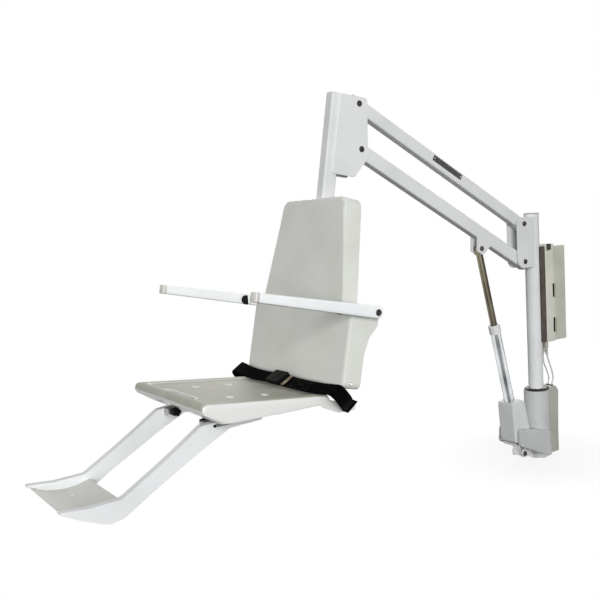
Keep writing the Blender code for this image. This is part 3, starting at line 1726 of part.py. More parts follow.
strap(
    "belt_right",
    [
        (buckle_right, 0, 0.002, BELT_LEAN),
        (0.112 - SEAT_HALF, 0, 0, BELT_LEAN),
        (0.062 - SEAT_HALF, 0, 0.0005, BELT_LEAN),
        (0.017 - SEAT_HALF, 0.001, 0.003, BELT_LEAN),
        (-SEAT_HALF - 0.018, 0.003, 0.007, BELT_LEAN),
        (-SEAT_HALF - 0.048, 0.005, 0.0095, BELT_LEAN),
        (-SEAT_HALF - 0.066, 0.009, 0.006, fold_lean),
        (-SEAT_HALF - 0.072, 0.015, -0.006, fold_lean),
        (-SEAT_HALF - 0.068, 0.026, -0.022, fold_lean),
        (-SEAT_HALF - 0.048, 0.044, -0.040, tail_lean),
        (-SEAT_HALF - 0.018, 0.070, -0.055, tail_lean),
        (-anchor_x, 0.092, -0.0645, tail_lean),
        (-anchor_x, 0.106, -0.0715, tail_lean),
    ],
)
buckle_frame = empty(
    "buckle_frame",
    (BUCKLE_X, 0, BUCKLE_UP - BELT_UP),
    (BELT_LEAN, 0, 0),
    belt,
)
buckle = block(
    "buckle",
    (-BUCKLE_LENGTH / 2, -BUCKLE_WIDTH / 2, -BUCKLE_THICK / 2),
    (BUCKLE_LENGTH / 2, BUCKLE_WIDTH / 2, BUCKLE_THICK / 2),
    BLACK,
    buckle_frame,
    rim=0.004,
)
button_depth = BUTTON_TRAVEL * 2
pocket_low = BUCKLE_THICK / 2 - button_depth - BUTTON_TRAVEL - RUN
cut(
    buckle,
    block(
        "button_pocket",
        (-BUTTON_LENGTH / 2 - RUN, -BUTTON_WIDTH / 2 - RUN, pocket_low),
        (BUTTON_LENGTH / 2 + RUN, BUTTON_WIDTH / 2 + RUN, BUCKLE_THICK),
        BLACK,
        buckle_frame,
    ),
)
block(
    "buckle_button",
    (-BUTTON_LENGTH / 2, -BUTTON_WIDTH / 2, BUCKLE_THICK / 2 - button_depth),
    (BUTTON_LENGTH / 2, BUTTON_WIDTH / 2, BUCKLE_THICK / 2 + BUTTON_TRAVEL / 2),
    PLATE,
    buckle_frame,
    rim=0.001,
)
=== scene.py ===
# %% [markdown]
# # Dressing a pool lift
# A pool lift carries a bather from the deck into the water: a post on the deck, two arms one
# above the other, an electric pusher under them, and a moulded chair on the far end.
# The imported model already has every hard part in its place, so this script never moves one.
# It loads that model as a frame, gives each part its finish, and adds what a solid can't
# show: woven straps, leads, stitches, weld beads and small fasteners.

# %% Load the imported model
from math import cos, pi, radians, sin

import bmesh
import bpy
from mathutils import Matrix, Vector


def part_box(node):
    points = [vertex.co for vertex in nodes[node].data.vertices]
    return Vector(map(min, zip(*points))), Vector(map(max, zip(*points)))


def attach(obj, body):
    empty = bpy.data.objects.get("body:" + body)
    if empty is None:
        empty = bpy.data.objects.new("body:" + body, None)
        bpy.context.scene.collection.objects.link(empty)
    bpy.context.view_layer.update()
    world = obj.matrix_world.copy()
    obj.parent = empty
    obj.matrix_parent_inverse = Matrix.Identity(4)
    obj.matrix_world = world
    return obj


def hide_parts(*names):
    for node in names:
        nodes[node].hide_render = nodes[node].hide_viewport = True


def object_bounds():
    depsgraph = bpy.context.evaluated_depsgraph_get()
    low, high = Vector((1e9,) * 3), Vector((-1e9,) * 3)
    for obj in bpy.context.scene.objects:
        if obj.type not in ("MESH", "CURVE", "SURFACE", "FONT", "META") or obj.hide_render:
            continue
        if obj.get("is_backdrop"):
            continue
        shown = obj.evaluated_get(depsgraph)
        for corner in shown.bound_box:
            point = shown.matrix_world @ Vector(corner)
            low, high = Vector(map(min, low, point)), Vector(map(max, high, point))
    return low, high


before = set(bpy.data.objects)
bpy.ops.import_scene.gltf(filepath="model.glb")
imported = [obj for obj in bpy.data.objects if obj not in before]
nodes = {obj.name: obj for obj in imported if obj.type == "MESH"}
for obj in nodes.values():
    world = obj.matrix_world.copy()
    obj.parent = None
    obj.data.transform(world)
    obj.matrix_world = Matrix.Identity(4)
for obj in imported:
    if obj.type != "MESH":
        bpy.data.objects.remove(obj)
cad_low, cad_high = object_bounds()
scene = bpy.context.scene
scene.view_settings.view_transform = "Standard"

# %% [markdown]
# ## The camera
# The picture was taken from the swimmer's left, about level with the arms, with a slight roll.
# A camera could be aimed with a Track To constraint, but a constraint can't roll it, so its
# three axes are worked out from the angles and set as a matrix.

# %% Camera at the photograph's angle
CAMERA_PLACE = Vector((2.1233, -2.6307, 1.0433))
CAMERA_TURN = radians(55.457)
CAMERA_PITCH = radians(-5.786)
CAMERA_ROLL = radians(-3.382)
FOCAL_PIXELS = 790
PICTURE_PIXELS = 600
SENSOR_MM = 36


def camera_axes(turn, pitch, roll):
    """Right, up and forward of a camera with these angles."""
    forward = Vector((-sin(turn) * cos(pitch), cos(turn) * cos(pitch), sin(pitch)))
    level = Vector((cos(turn), sin(turn), 0))
    above = level.cross(forward)
    right = level * cos(roll) + above * sin(roll)
    up = above * cos(roll) - level * sin(roll)
    return right, up, forward


right, up, forward = camera_axes(CAMERA_TURN, CAMERA_PITCH, CAMERA_ROLL)
camera_data = bpy.data.cameras.new("camera")
camera_data.sensor_width = SENSOR_MM
camera_data.lens = FOCAL_PIXELS / PICTURE_PIXELS * SENSOR_MM
camera = bpy.data.objects.new("camera", camera_data)
facing = Matrix((right, up, -forward)).transposed().to_4x4()
camera.matrix_world = Matrix.Translation(CAMERA_PLACE) @ facing
scene.collection.objects.link(camera)
scene.camera = camera
print("camera lens", round(camera_data.lens, 2), "mm")

# %% [markdown]
# ## Shader maths as Python
# Node trees are easier to read as sums. A small class wraps one output socket: adding or
# multiplying two of them adds a Math node, and any other node comes from its `node` method.

# %% A socket that takes arithmetic


class Flow:
    """An output socket of a node tree that Python's operators work on."""

    def __init__(self, tree, socket=None):
        self.tree = tree
        self.socket = socket

    def node(self, kind, settings=None, sockets=None, out=0):
        """A new node of that kind: its settings first, then its sockets' values or links."""
        made = self.tree.nodes.new(kind)
        for key, value in (settings or {}).items():
            setattr(made, key, value)
        for key, value in (sockets or {}).items():
            if isinstance(value, Flow):
                self.tree.links.new(value.socket, made.inputs[key])
            else:
                made.inputs[key].default_value = value
        return Flow(self.tree, made.outputs[out] if made.outputs else None)

    def math(self, operation, first, second):
        """A Math node on two values, either of which may be a plain number."""
        return self.node("ShaderNodeMath", {"operation": operation}, {0: first, 1: second})

    def __add__(self, other):
        return self.math("ADD", self, other)

    __radd__ = __add__

    def __sub__(self, other):
        return self.math("SUBTRACT", self, other)

    def __rsub__(self, other):
        return self.math("SUBTRACT", other, self)

    def __mul__(self, other):
        return self.math("MULTIPLY", self, other)

    __rmul__ = __mul__

    def largest(self, other):
        """The larger of two values."""
        return self.math("MAXIMUM", self, other)

    def coordinate(self, axis):
        """One coordinate of this vector: X, Y or Z."""
        return self.node("ShaderNodeSeparateXYZ", None, {"Vector": self}, out=axis)

    def between(self, low, high):
        """0 below low, 1 above high, and a smooth step from one to the other."""
        return self.node(
            "ShaderNodeMapRange",
            {"interpolation_type": "SMOOTHSTEP"},
            {"Value": self, "From Min": low, "From Max": high},
        )

    def tint(self, first, second):
        """A colour that goes from first to second as this value goes from 0 to 1."""
        return self.node(
            "ShaderNodeMix",
            {"data_type": "RGBA"},
            {0: self, 6: first, 7: second},
            out=2,
        )


def tree_of(block):
    """The emptied node tree of a material or a world, as a flow."""
    block.use_nodes = True
    block.node_tree.nodes.clear()
    return Flow(block.node_tree)


print("shader class ready")

# %% [markdown]
# ## White surround and soft light
# The photograph has a plain white surround and light from beside the camera, with dark
# undersides. A big soft lamp beside the camera gives that, a weaker one behind the lift keeps
# its back readable, and an even sky fills the rest. The surround is white only to the camera
# and to reflections, so that it adds no light to the object.

# %% A sky that is white to the eye and dim as a lamp
SKY_STRENGTH = 0.36
GROUND_STRENGTH = 0.05
HORIZON_BLUR = 0.03
WHITE = (1, 1, 1, 1)


def seen_directly(flow):
    """1 on camera, mirror and glass rays, which see the white surround, and 0 on the rest."""
    camera_ray = flow.node("ShaderNodeLightPath", out="Is Camera Ray")
    mirror_ray = flow.node("ShaderNodeLightPath", out="Is Glossy Ray")
    glass_ray = flow.node("ShaderNodeLightPath", out="Is Transmission Ray")
    return camera_ray.largest(mirror_ray).largest(glass_ray)


sky = bpy.data.worlds.new("sky")
scene.world = sky
flow = tree_of(sky)
way = flow.node("ShaderNodeTexCoord", out="Generated")
above = way.coordinate("Z").between(-HORIZON_BLUR, HORIZON_BLUR)
dim = above * (SKY_STRENGTH - GROUND_STRENGTH) + GROUND_STRENGTH
dim_sky = flow.node("ShaderNodeBackground", None, {"Color": WHITE, "Strength": dim})
white_sky = flow.node("ShaderNodeBackground", None, {"Color": WHITE, "Strength": 1})
sky_mix = flow.node("ShaderNodeMixShader", None, {0: seen_directly(flow), 1: dim_sky, 2: white_sky})
flow.node("ShaderNodeOutputWorld", None, {"Surface": sky_mix})
print("sky strength", SKY_STRENGTH, "above and", GROUND_STRENGTH, "below")

# %% Two soft lamps
LIFT_MIDDLE = (Vector(cad_low) + Vector(cad_high)) / 2
LAMP_DISTANCE = 7.5


def soft_lamp(name, towards, level, size):
    """An area lamp in that direction that lights a white face turned to it to that level."""
    data = bpy.data.lights.new(name, "AREA")
    data.size = size
    data.energy = level * pi * pi * LAMP_DISTANCE ** 2
    lamp = bpy.data.objects.new(name, data)
    way = Vector(towards).normalized()
    lamp.location = LIFT_MIDDLE + way * LAMP_DISTANCE
    lamp.rotation_euler = way.to_track_quat("Z", "Y").to_euler()
    scene.collection.objects.link(lamp)
    print("lamp", name, round(data.energy), "W")


soft_lamp("lamp_beside_camera", towards=(0.80, -0.45, 0.20), level=0.82, size=3.8)
soft_lamp("lamp_behind", towards=(-0.62, 0.62, 0.45), level=0.34, size=4.8)

# %% [markdown]
# ## The floor
# The post stands on the deck, and the chair hangs past the deck's edge and goes down into the
# pool. A floor that reached under the chair would swallow it when it is lowered, so the floor
# is a pale round patch of deck. It is grey as a reflector, so that it doesn't light the dark
# undersides, and white to the eye, with the post's shadow left on it near the foot.

# %% Finish of the deck that keeps the shadow
SHADOW_NEAR = 0.16
SHADOW_FAR = 0.47
FLOOR_GLOW = 0.86
FLOOR_GREY = (0.10, 0.10, 0.10, 1)
FLOOR_PALE = (0.90, 0.90, 0.90, 1)


def own_place(flow):
    """Where a spot lies in its piece's own metres."""
    return flow.node("ShaderNodeTexCoord", out="Object")


def pale_floor():
    """White to the eye apart from the shadow near the foot, and grey to the light."""
    material = bpy.data.materials.new("pale_floor")
    flow = tree_of(material)
    place = own_place(flow)
    away = flow.node("ShaderNodeVectorMath", {"operation": "LENGTH"}, {0: place}, out="Value")
    fade = away.between(SHADOW_NEAR, SHADOW_FAR) * (1 - FLOOR_GLOW) + FLOOR_GLOW
    grain = flow.node("ShaderNodeTexNoise", None, {"Vector": place, "Scale": 60, "Detail": 4})
    shadowed = flow.node("ShaderNodeBsdfDiffuse", None, {"Color": FLOOR_PALE})
    glow = flow.node("ShaderNodeEmission", None, {"Color": WHITE, "Strength": 1})
    to_eye = flow.node("ShaderNodeMixShader", None, {0: fade, 1: shadowed, 2: glow})
    bump = flow.node("ShaderNodeBump", None, {"Strength": 0.05, "Distance": 0.002, "Height": grain})
    to_light = flow.node("ShaderNodeBsdfDiffuse", None, {"Color": FLOOR_GREY, "Normal": bump})
    whole = flow.node("ShaderNodeMixShader", None, {0: seen_directly(flow), 1: to_light, 2: to_eye})
    flow.node("ShaderNodeOutputMaterial", None, {"Surface": whole})
    return material


FLOOR_FINISH = pale_floor()
print("the shadow fades out between", SHADOW_NEAR, "and", SHADOW_FAR, "m from the post")

# %% Round patch of deck
FLOOR_REACH = 0.50
FLOOR_DROP = 0.001
FLOOR_SIDES = 96


def piece(name, mesh, material):
    """A new object in the scene with that mesh and finish."""
    made = bpy.data.objects.new(name, mesh)
    mesh.materials.append(material)
    scene.collection.objects.link(made)
    return made


sheet = bmesh.new()
bmesh.ops.create_circle(sheet, cap_ends=True, segments=FLOOR_SIDES, radius=FLOOR_REACH)
floor_mesh = bpy.data.meshes.new("floor")
sheet.to_mesh(floor_mesh)
sheet.free()
floor = piece("floor", floor_mesh, FLOOR_FINISH)
floor.location.z = -FLOOR_DROP
floor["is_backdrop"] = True
print("floor", 2 * FLOOR_REACH, "m across")

# %% [markdown]
# ## Leads between the control box and the rear cover
# Two pale round leads leave the plugs under the box, sag outwards a little and go down into
# the rear cover. A mesh tube would do, but a curve with a round bevel is what a lead is: one
# line of a fixed length. The points are the ones that the solid lead was made from, with a
# smooth curve read through them.

# %% A smooth line through a few points


def smooth_line(points, count):
    """That many places on a smooth curve through all the points, evenly from each to the next."""
    rows = [Vector(point) for point in points]
    rows = [rows[0] * 2 - rows[1]] + rows + [rows[-1] * 2 - rows[-2]]
    spans = len(points) - 1
    line = []
    for step in range(count):
        along = step / (count - 1) * spans
        span = min(int(along), spans - 1)
        t = along - span
        a, b, c, d = rows[span:span + 4]
        line.append(
            (b * 2 + (c - a) * t + (a * 2 - b * 5 + c * 4 - d) * t ** 2
             + (b * 3 - a - c * 3 + d) * t ** 3) / 2
        )
    return line


def line_length(line):
    """Length of a line through these points."""
    return sum((b - a).length for a, b in zip(line, line[1:]))


print("smooth_line gives", len(smooth_line([(0, 0, 0), (0, 0, 1), (0, 1, 1)], 9)), "points")

# %% Noise, bumps and a finished tree


def noise(flow, scale, detail=3, stretch=None, lean=0):
    """Noise in the piece's own metres, leaned about X and then stretched if asked."""
    place = own_place(flow)
    if lean:
        place = flow.node("ShaderNodeVectorRotate", {"rotation_type": "X_AXIS"},
                          {"Vector": place, "Angle": lean})
    if stretch:
        place = flow.node("ShaderNodeMapping", None, {"Vector": place, "Scale": stretch})
    return flow.node("ShaderNodeTexNoise", None, {"Vector": place, "Scale": scale, "Detail": detail})


def bumped(flow, height, strength, depth):
    """A normal that leans as if the surface rose and fell by that depth."""
    return flow.node("ShaderNodeBump", None,
                     {"Height": height, "Strength": strength, "Distance": depth})


def finished(name, flow, sockets):
    """Ends a material's tree with a Principled shader that has these sockets."""
    shader = flow.node("ShaderNodeBsdfPrincipled", None, sockets)
    flow.node("ShaderNodeOutputMaterial", None, {"Surface": shader})
    print("finish", name, len(flow.tree.nodes), "nodes")


print("finish helpers ready")

# %% Finish of the leads
LEAD_GREY = (0.62, 0.62, 0.58, 1)
LEAD_DULL = (0.50, 0.50, 0.46, 1)


def lead_jacket():
    """Soft grey vinyl, slightly dusty."""
    material = bpy.data.materials.new("lead_jacket")
    flow = tree_of(material)
    dust = noise(flow, 45).between(0.42, 0.7)
    finished("lead_jacket", flow, {
        "Base Color": dust.tint(LEAD_GREY, LEAD_DULL),
        "Roughness": dust * 0.2 + 0.42,
        "Normal": bumped(flow, noise(flow, 900), 0.15, 0.0003),
    })
    return material


LEAD_FINISH = lead_jacket()

# %% The two leads
LEAD_RADIUS = 0.003
LEAD_POINTS = 24
LEAD_ROUNDNESS = 5
LEAD_ROUTES = {
    "lead_front": [(0.003, 0.046, 0.44435), (0.003, 0.0499, 0.39115), (0.003, 0.0681, 0.35315),
                   (0.003, 0.0798, 0.31971), (0.003, 0.072, 0.29235)],
    "lead_rear": [(0.022, 0.044, 0.44435), (0.022, 0.0538, 0.40635), (0.022, 0.0734, 0.36075),
                  (0.022, 0.0832, 0.32275), (0.022, 0.072, 0.29235)],
}


def lead(node, route):
    """One lead on its route, in place of its solid."""
    line = smooth_line(route, LEAD_POINTS)
    data = bpy.data.curves.new(node + "_jacket", "CURVE")
    data.dimensions = "3D"
    data.bevel_depth = LEAD_RADIUS
    data.bevel_resolution = LEAD_ROUNDNESS
    data.use_fill_caps = True
    spline = data.splines.new("POLY")
    spline.points.add(len(line) - 1)
    for point, spot in zip(spline.points, line):
        point.co = (*spot, 1)
    spline.use_smooth = True
    made = piece(node + "_jacket", data, LEAD_FINISH)
    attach(made, "mast")
    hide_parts(node)
    round(line_length(line), 4)
    print(made.name, round(line_length(line) * 1000), "mm long")


for node, route in LEAD_ROUTES.items():
    lead(node, route)

# %% [markdown]
# ## Webbing straps
# The lap belt is two lengths of black woven webbing, each from the buckle across the seat,
# folded over its edge and down to an anchor behind. Cloth simulation suits a slack drape, but
# a strap is stiff across its width and pulled tight, so it is swept: a thin cross-section with
# rounded selvedges is carried along a smooth line, turning as it folds.

# %% A skin over rings of points


def skin(name, strands, looped=False):
    """A mesh of closed skins: each strand is a list of rings, joined in turn, then capped or looped."""
    build = bmesh.new()
    for rings in strands:
        rows = [[build.verts.new(spot) for spot in ring] for ring in rings]
        following_rows = rows[1:] + rows[:1] if looped else rows[1:]
        for low, high in zip(rows, following_rows):
            for k in range(len(low)):
                following = (k + 1) % len(low)
                build.faces.new((low[k], low[following], high[following], high[k]))
        if not looped:
            build.faces.new(rows[0][::-1])
            build.faces.new(rows[-1])
    bmesh.ops.recalc_face_normals(build, faces=build.faces)
    for face in build.faces:
        face.smooth = True
    mesh = bpy.data.meshes.new(name)
    build.to_mesh(mesh)
    build.free()
    return mesh


print("skin ready")

# %% Finish of the webbing
WEB_BLACK = (0.0012, 0.0012, 0.0013, 1)
WEB_WORN = (0.004, 0.004, 0.004, 1)
WEB_SHEEN = 0.025
WEAVE_PER_METRE = 420


def webbing():
    """Black polyester weave: ribs along the strap crossed by fine picks, worn pale on top."""
    material = bpy.data.materials.new("woven_webbing")
    flow = tree_of(material)
    along = flow.node("ShaderNodeUVMap", {"uv_map": "strap"})
    ribs = flow.node("ShaderNodeTexWave", {"bands_direction": "X"},
                     {"Vector": along, "Scale": WEAVE_PER_METRE / 6, "Distortion": 0.6}, out="Fac")
    picks = flow.node("ShaderNodeTexWave", {"bands_direction": "Y"},
                      {"Vector": along, "Scale": WEAVE_PER_METRE / 4, "Distortion": 0.4}, out="Fac")
    weave = ribs * 0.6 + picks * 0.4
    worn = (noise(flow, 38).between(0.4, 0.75) * weave).between(0.2, 0.9)
    finished("woven_webbing", flow, {
        "Base Color": worn.tint(WEB_BLACK, WEB_WORN),
        "Roughness": 0.86 - worn * 0.12,
        "Specular IOR Level": WEB_SHEEN,
        "Normal": bumped(flow, weave, 0.5, 0.0006),
    })
    return material


WEB_FINISH = webbing()

# %% Routes of the two straps
# Each point is sideways, back and up from the belt's home, with the lean of the strap's width.
SEAT_HALF = 0.232
ANCHOR_OUT = 0.2334
BELT_HOME = Vector((0, -1.26167, 0.53053))
FLAT_LEAN = radians(27.8)
FOLD_LEAN = radians(32)
TAIL_LEAN = radians(36)
STRAP_ROUTES = {
    "belt_left": [
        (0.0178, 0, 0.002, FLAT_LEAN),
        (SEAT_HALF - 0.157, 0.001, 0, FLAT_LEAN),
        (SEAT_HALF - 0.082, 0.003, -0.0005, FLAT_LEAN),
        (SEAT_HALF - 0.027, 0.007, 0, FLAT_LEAN),
        (SEAT_HALF + 0.013, 0.0125, 0.002, FLAT_LEAN),
        (SEAT_HALF + 0.036, 0.0135, 0.003, FLAT_LEAN),
        (SEAT_HALF + 0.048, 0.017, -0.003, FOLD_LEAN),
        (SEAT_HALF + 0.052, 0.026, -0.015, FOLD_LEAN),
        (SEAT_HALF + 0.046, 0.042, -0.031, FOLD_LEAN),
        (SEAT_HALF + 0.030, 0.062, -0.047, TAIL_LEAN),
        (SEAT_HALF + 0.010, 0.080, -0.059, TAIL_LEAN),
        (ANCHOR_OUT, 0.092, -0.0645, TAIL_LEAN),
        (ANCHOR_OUT, 0.106, -0.0715, TAIL_LEAN),
    ],
    "belt_right": [
        (-0.0578, 0, 0.002, FLAT_LEAN),
        (0.112 - SEAT_HALF, 0, 0, FLAT_LEAN),
        (0.062 - SEAT_HALF, 0, 0.0005, FLAT_LEAN),
        (0.017 - SEAT_HALF, 0.001, 0.003, FLAT_LEAN),
        (-SEAT_HALF - 0.018, 0.003, 0.007, FLAT_LEAN),
        (-SEAT_HALF - 0.048, 0.005, 0.0095, FLAT_LEAN),
        (-SEAT_HALF - 0.066, 0.009, 0.006, FOLD_LEAN),
        (-SEAT_HALF - 0.072, 0.015, -0.006, FOLD_LEAN),
        (-SEAT_HALF - 0.068, 0.026, -0.022, FOLD_LEAN),
        (-SEAT_HALF - 0.048, 0.044, -0.040, TAIL_LEAN),
        (-SEAT_HALF - 0.018, 0.070, -0.055, TAIL_LEAN),
        (-ANCHOR_OUT, 0.092, -0.0645, TAIL_LEAN),
        (-ANCHOR_OUT, 0.106, -0.0715, TAIL_LEAN),
    ],
}
print("strap routes of", [len(route) for route in STRAP_ROUTES.values()], "points")

# %% Cross-sections along a strap
STRAP_WIDTH = 0.050
STRAP_THICK = 0.0024
STRAP_STATIONS = 96
STRAP_ACROSS = 9
SELVEDGE_THIN = 0.55
SELVEDGE_POWER = 8


def strap_frames(route):
    """Middle, width direction and normal of a strap at each of its stations."""
    line = smooth_line(route, STRAP_STATIONS)
    spots = [BELT_HOME + row.to_3d() for row in line]
    wides = [Vector((0, cos(row[3]), sin(row[3]))) for row in line]
    frames = []
    for k, (spot, wide) in enumerate(zip(spots, wides)):
        before, after = spots[max(k - 1, 0)], spots[min(k + 1, len(spots) - 1)]
        frames.append((spot, wide, (after - before).cross(wide).normalized()))
    return frames


def strap_ring(spot, wide, normal):
    """One cross-section: thick in the middle, thinning at the two selvedges."""
    top, bottom = [], []
    for k in range(STRAP_ACROSS):
        across = 2 * k / (STRAP_ACROSS - 1) - 1
        half_thick = STRAP_THICK / 2 * (1 - SELVEDGE_THIN * across ** SELVEDGE_POWER)
        middle = spot + wide * (across * STRAP_WIDTH / 2)
        top.append(middle + normal * half_thick)
        bottom.append(middle - normal * half_thick)
    return top + bottom[::-1]


print("a strap has", STRAP_STATIONS, "sections of", 2 * STRAP_ACROSS, "points")

# %% Sweep the straps


def strap(node, route):
    """One strap swept along its route, in place of its solid, with metres of weave as its UVs."""
    frames = strap_frames(route)
    mesh = skin(node + "_webbing", [[strap_ring(*station) for station in frames]])
    length = line_length([spot for spot, _, _ in frames])
    layer = mesh.uv_layers.new(name="strap")
    ring = 2 * STRAP_ACROSS
    for loop in mesh.loops:
        station, k = divmod(loop.vertex_index, ring)
        across = k if k < STRAP_ACROSS else ring - 1 - k
        layer.data[loop.index].uv = (across / (STRAP_ACROSS - 1) * STRAP_WIDTH,
                                     station / (STRAP_STATIONS - 1) * length)
    made = piece(node + "_webbing", mesh, WEB_FINISH)
    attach(made, "chair")
    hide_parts(node)
    print(made.name, round(length * 1000), "mm long")
    return frames


STRAP_FRAMES = {node: strap(node, route) for node, route in STRAP_ROUTES.items()}

# %% [markdown]
# ## Finishes of the hard parts
# Every part of the lift is painted steel, moulded plastic, bare metal or rubber. One flat
# colour for each would look like a toy, so each finish has its own grain in metres, a slow
# change of shade, and edges that hands and cloths have rubbed.

# %% Colours as seen, and rubbed edges
RUBBED_FROM = 0.03
RUBBED_FULL = 0.3


def seen(red, green, blue):
    """A colour as read on a screen, 0 to 255, as the linear light that Blender works in."""
    light = [((value / 255 + 0.055) / 1.055) ** 2.4 for value in (red, green, blue)]
    return (*light, 1)


def rubbed_edge(flow, reach):
    """1 on sharp edges and 0 on flat faces, from how far a rounded normal leans."""
    rounded = flow.node("ShaderNodeBevel", {"samples": 4}, {"Radius": reach})
    true = flow.node("ShaderNodeNewGeometry", out="Normal")
    leaning = flow.node("ShaderNodeVectorMath", {"operation": "DOT_PRODUCT"},
                        {0: rounded, 1: true}, out="Value")
    return (1 - leaning).between(RUBBED_FROM, RUBBED_FULL)


print("half grey on a screen is", round(seen(128, 128, 128)[0], 2), "of full light")

# %% Painted steel
PAINT_SHINE = 0.06


def painted_steel(name, clean, dull, gloss):
    """Baked powder paint: an orange-peel skin, a faint bloom, and thin paint on edges."""
    material = bpy.data.materials.new(name)
    flow = tree_of(material)
    bloom = noise(flow, 5).between(0.35, 0.75)
    edge = rubbed_edge(flow, 0.003)
    finished(name, flow, {
        "Base Color": (edge * 0.35).tint(bloom.tint(clean, dull), dull),
        "Roughness": bloom * 0.10 + edge * 0.08 + gloss,
        "Specular IOR Level": PAINT_SHINE,
        "Normal": bumped(flow, noise(flow, 520, 1), 0.10, 0.0004),
    })
    return material


WHITE_COAT = painted_steel("white_powder_coat", seen(231, 233, 233), seen(220, 222, 222), gloss=0.42)
# The armrests and footrest legs take lighter copies of the white powder coat: painted light.
ARMREST_LIT_COAT = painted_steel("armrest_paint", seen(247, 249, 250), seen(238, 241, 242), gloss=0.38)
LEG_LIT_COAT = painted_steel("footrest_leg_lit_white_coat", seen(238, 240, 241), seen(228, 230, 231), gloss=0.38)

# %% Moulded plastics


def moulded(name, clean, dull, gloss, grain, depth, shine=0.4):
    """Moulded plastic with a fine stipple from its mould and a slow change of shade."""
    material = bpy.data.materials.new(name)
    flow = tree_of(material)
    shade = noise(flow, 7, 4).between(0.3, 0.75)
    stipple = noise(flow, grain, 2)
    edge = rubbed_edge(flow, 0.002)
    finished(name, flow, {
        "Base Color": (edge * 0.3).tint(shade.tint(clean, dull), clean),
        "Roughness": stipple * 0.12 + gloss - edge * 0.06,
        "Specular IOR Level": shine,
        "Normal": bumped(flow, stipple, 0.22, depth),
    })
    return material


BACK_SHELL = moulded("backrest_moulding", seen(224, 226, 220), seen(215, 217, 210),
                     gloss=0.36, grain=640, depth=0.0004)
GREY_COVER = moulded("grey_cover_moulding", seen(200, 202, 202), seen(187, 189, 190),
                     gloss=0.36, grain=820, depth=0.0005)
HOUSING_GREY = moulded("pusher_housing_casting", seen(222, 224, 224), seen(211, 213, 214),
                       gloss=0.36, grain=820, depth=0.0005)
# The rear cover's darker grey is painted shade: a shaded copy of the grey cover moulding.
REAR_SHADED_SHELL = moulded("rear_cover_shaded_grey", seen(178, 177, 169), seen(162, 161, 153),
                     gloss=0.40, grain=820, depth=0.0005)
BOX_SHELL = moulded("control_box_moulding", seen(220, 220, 208), seen(205, 206, 193),
                    gloss=0.38, grain=760, depth=0.0005)
PACK_SHELL = moulded("battery_moulding", seen(200, 201, 187), seen(184, 185, 171),
                     gloss=0.38, grain=760, depth=0.0005)
CAP_GREY = moulded("mast_cap_moulding", seen(142, 144, 145), seen(126, 128, 130),
                   gloss=0.38, grain=820, depth=0.0005)
BLACK_PLASTIC = moulded("black_plastic", seen(18, 17, 15), seen(13, 12, 11),
                        gloss=0.42, grain=900, depth=0.0004, shine=0.06)
RUBBER = moulded("rubber_stop", seen(30, 29, 28), seen(22, 22, 22),
                 gloss=0.62, grain=500, depth=0.0006, shine=0.15)

# %% [markdown]
# ## The seat's grip surface and painted top shade
# The seat and the foot plate are one moulding each, white, with a pebbled tread on top that wet
# skin doesn't slide on. It could be a separate sheet, but on the real one it is the same plastic.
# Where a face looks up, the shader bumps it with pebbles and paints it greyer: painted shade,
# as the tops take less light than the sides.

# %% Which faces take the painted top shade
ROLL_DEPTH = 0.028
ROLL_FADE = 0.006
ROLL_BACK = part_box("seat")[0][1] + ROLL_DEPTH
UP_FROM = 0.62
UP_FULL = 0.93


def top_shade_mask(flow, over_front):
    """Mask of painted shade: 1 where a face looks up, and on the front roll too if that share of its lean
    counts.
    """
    normal = flow.node("ShaderNodeTexCoord", out="Normal")
    height = normal.coordinate("Z")
    back = normal.coordinate("Y")
    along = own_place(flow).coordinate("Y")
    roll = 1 - along.between(ROLL_BACK, ROLL_BACK + ROLL_FADE)
    return (height - back * roll * over_front).between(UP_FROM, UP_FULL)


print("the front roll ends at y", round(ROLL_BACK, 3), "m")

# %% White sides and painted shade on the pebbled top
PEBBLES_PER_METRE = 260


def moulding_with_top_shade(name, side, top_shade_colour, worn, over_front):
    """White plastic whose top faces are pebbled and painted greyer as painted shade, worn paler in patches.
    """
    material = bpy.data.materials.new(name)
    flow = tree_of(material)
    # top is the mask of painted shade on the faces that look up.
    top = top_shade_mask(flow, over_front)
    patches = noise(flow, 9, 4).between(0.42, 0.72)
    pebbles = flow.node("ShaderNodeTexVoronoi", {"feature": "SMOOTH_F1"},
                        {"Vector": own_place(flow), "Scale": PEBBLES_PER_METRE}, out="Distance")
    edge = rubbed_edge(flow, 0.002)
    finished(name, flow, {
        "Base Color": (top * (1 - edge * 0.5)).tint(side, patches.tint(top_shade_colour, worn)),
        "Roughness": top * 0.16 + patches * 0.05 + 0.34,
        "Normal": bumped(flow, pebbles * top, 0.35, 0.0008),
    })
    return material


# The greyer tops of the seat and the foot plate are painted shade, not a grey plastic.
SEAT_SHELL = moulding_with_top_shade("seat_moulding", side=seen(231, 232, 229), top_shade_colour=seen(168, 168, 155),
                            worn=seen(182, 182, 170), over_front=0.84)
FOOT_SHELL = moulding_with_top_shade("foot_plate_moulding", side=seen(238, 240, 238), top_shade_colour=seen(214, 215, 208),
                            worn=seen(223, 224, 218), over_front=0)

# %% [markdown]
# ## Bare and blackened metals
# The pusher's rod and tube are drawn through a die, and bolts and bushes are turned or brushed,
# which leaves fine lines in the metal. An anisotropic shader would stretch highlights in that
# way, but noise stretched along the piece gives lines that a baked model keeps too. On the rod
# and the tube the lines are wide bands from near white to near black: painted reflections.

# %% Metals with drawn lines and painted reflections


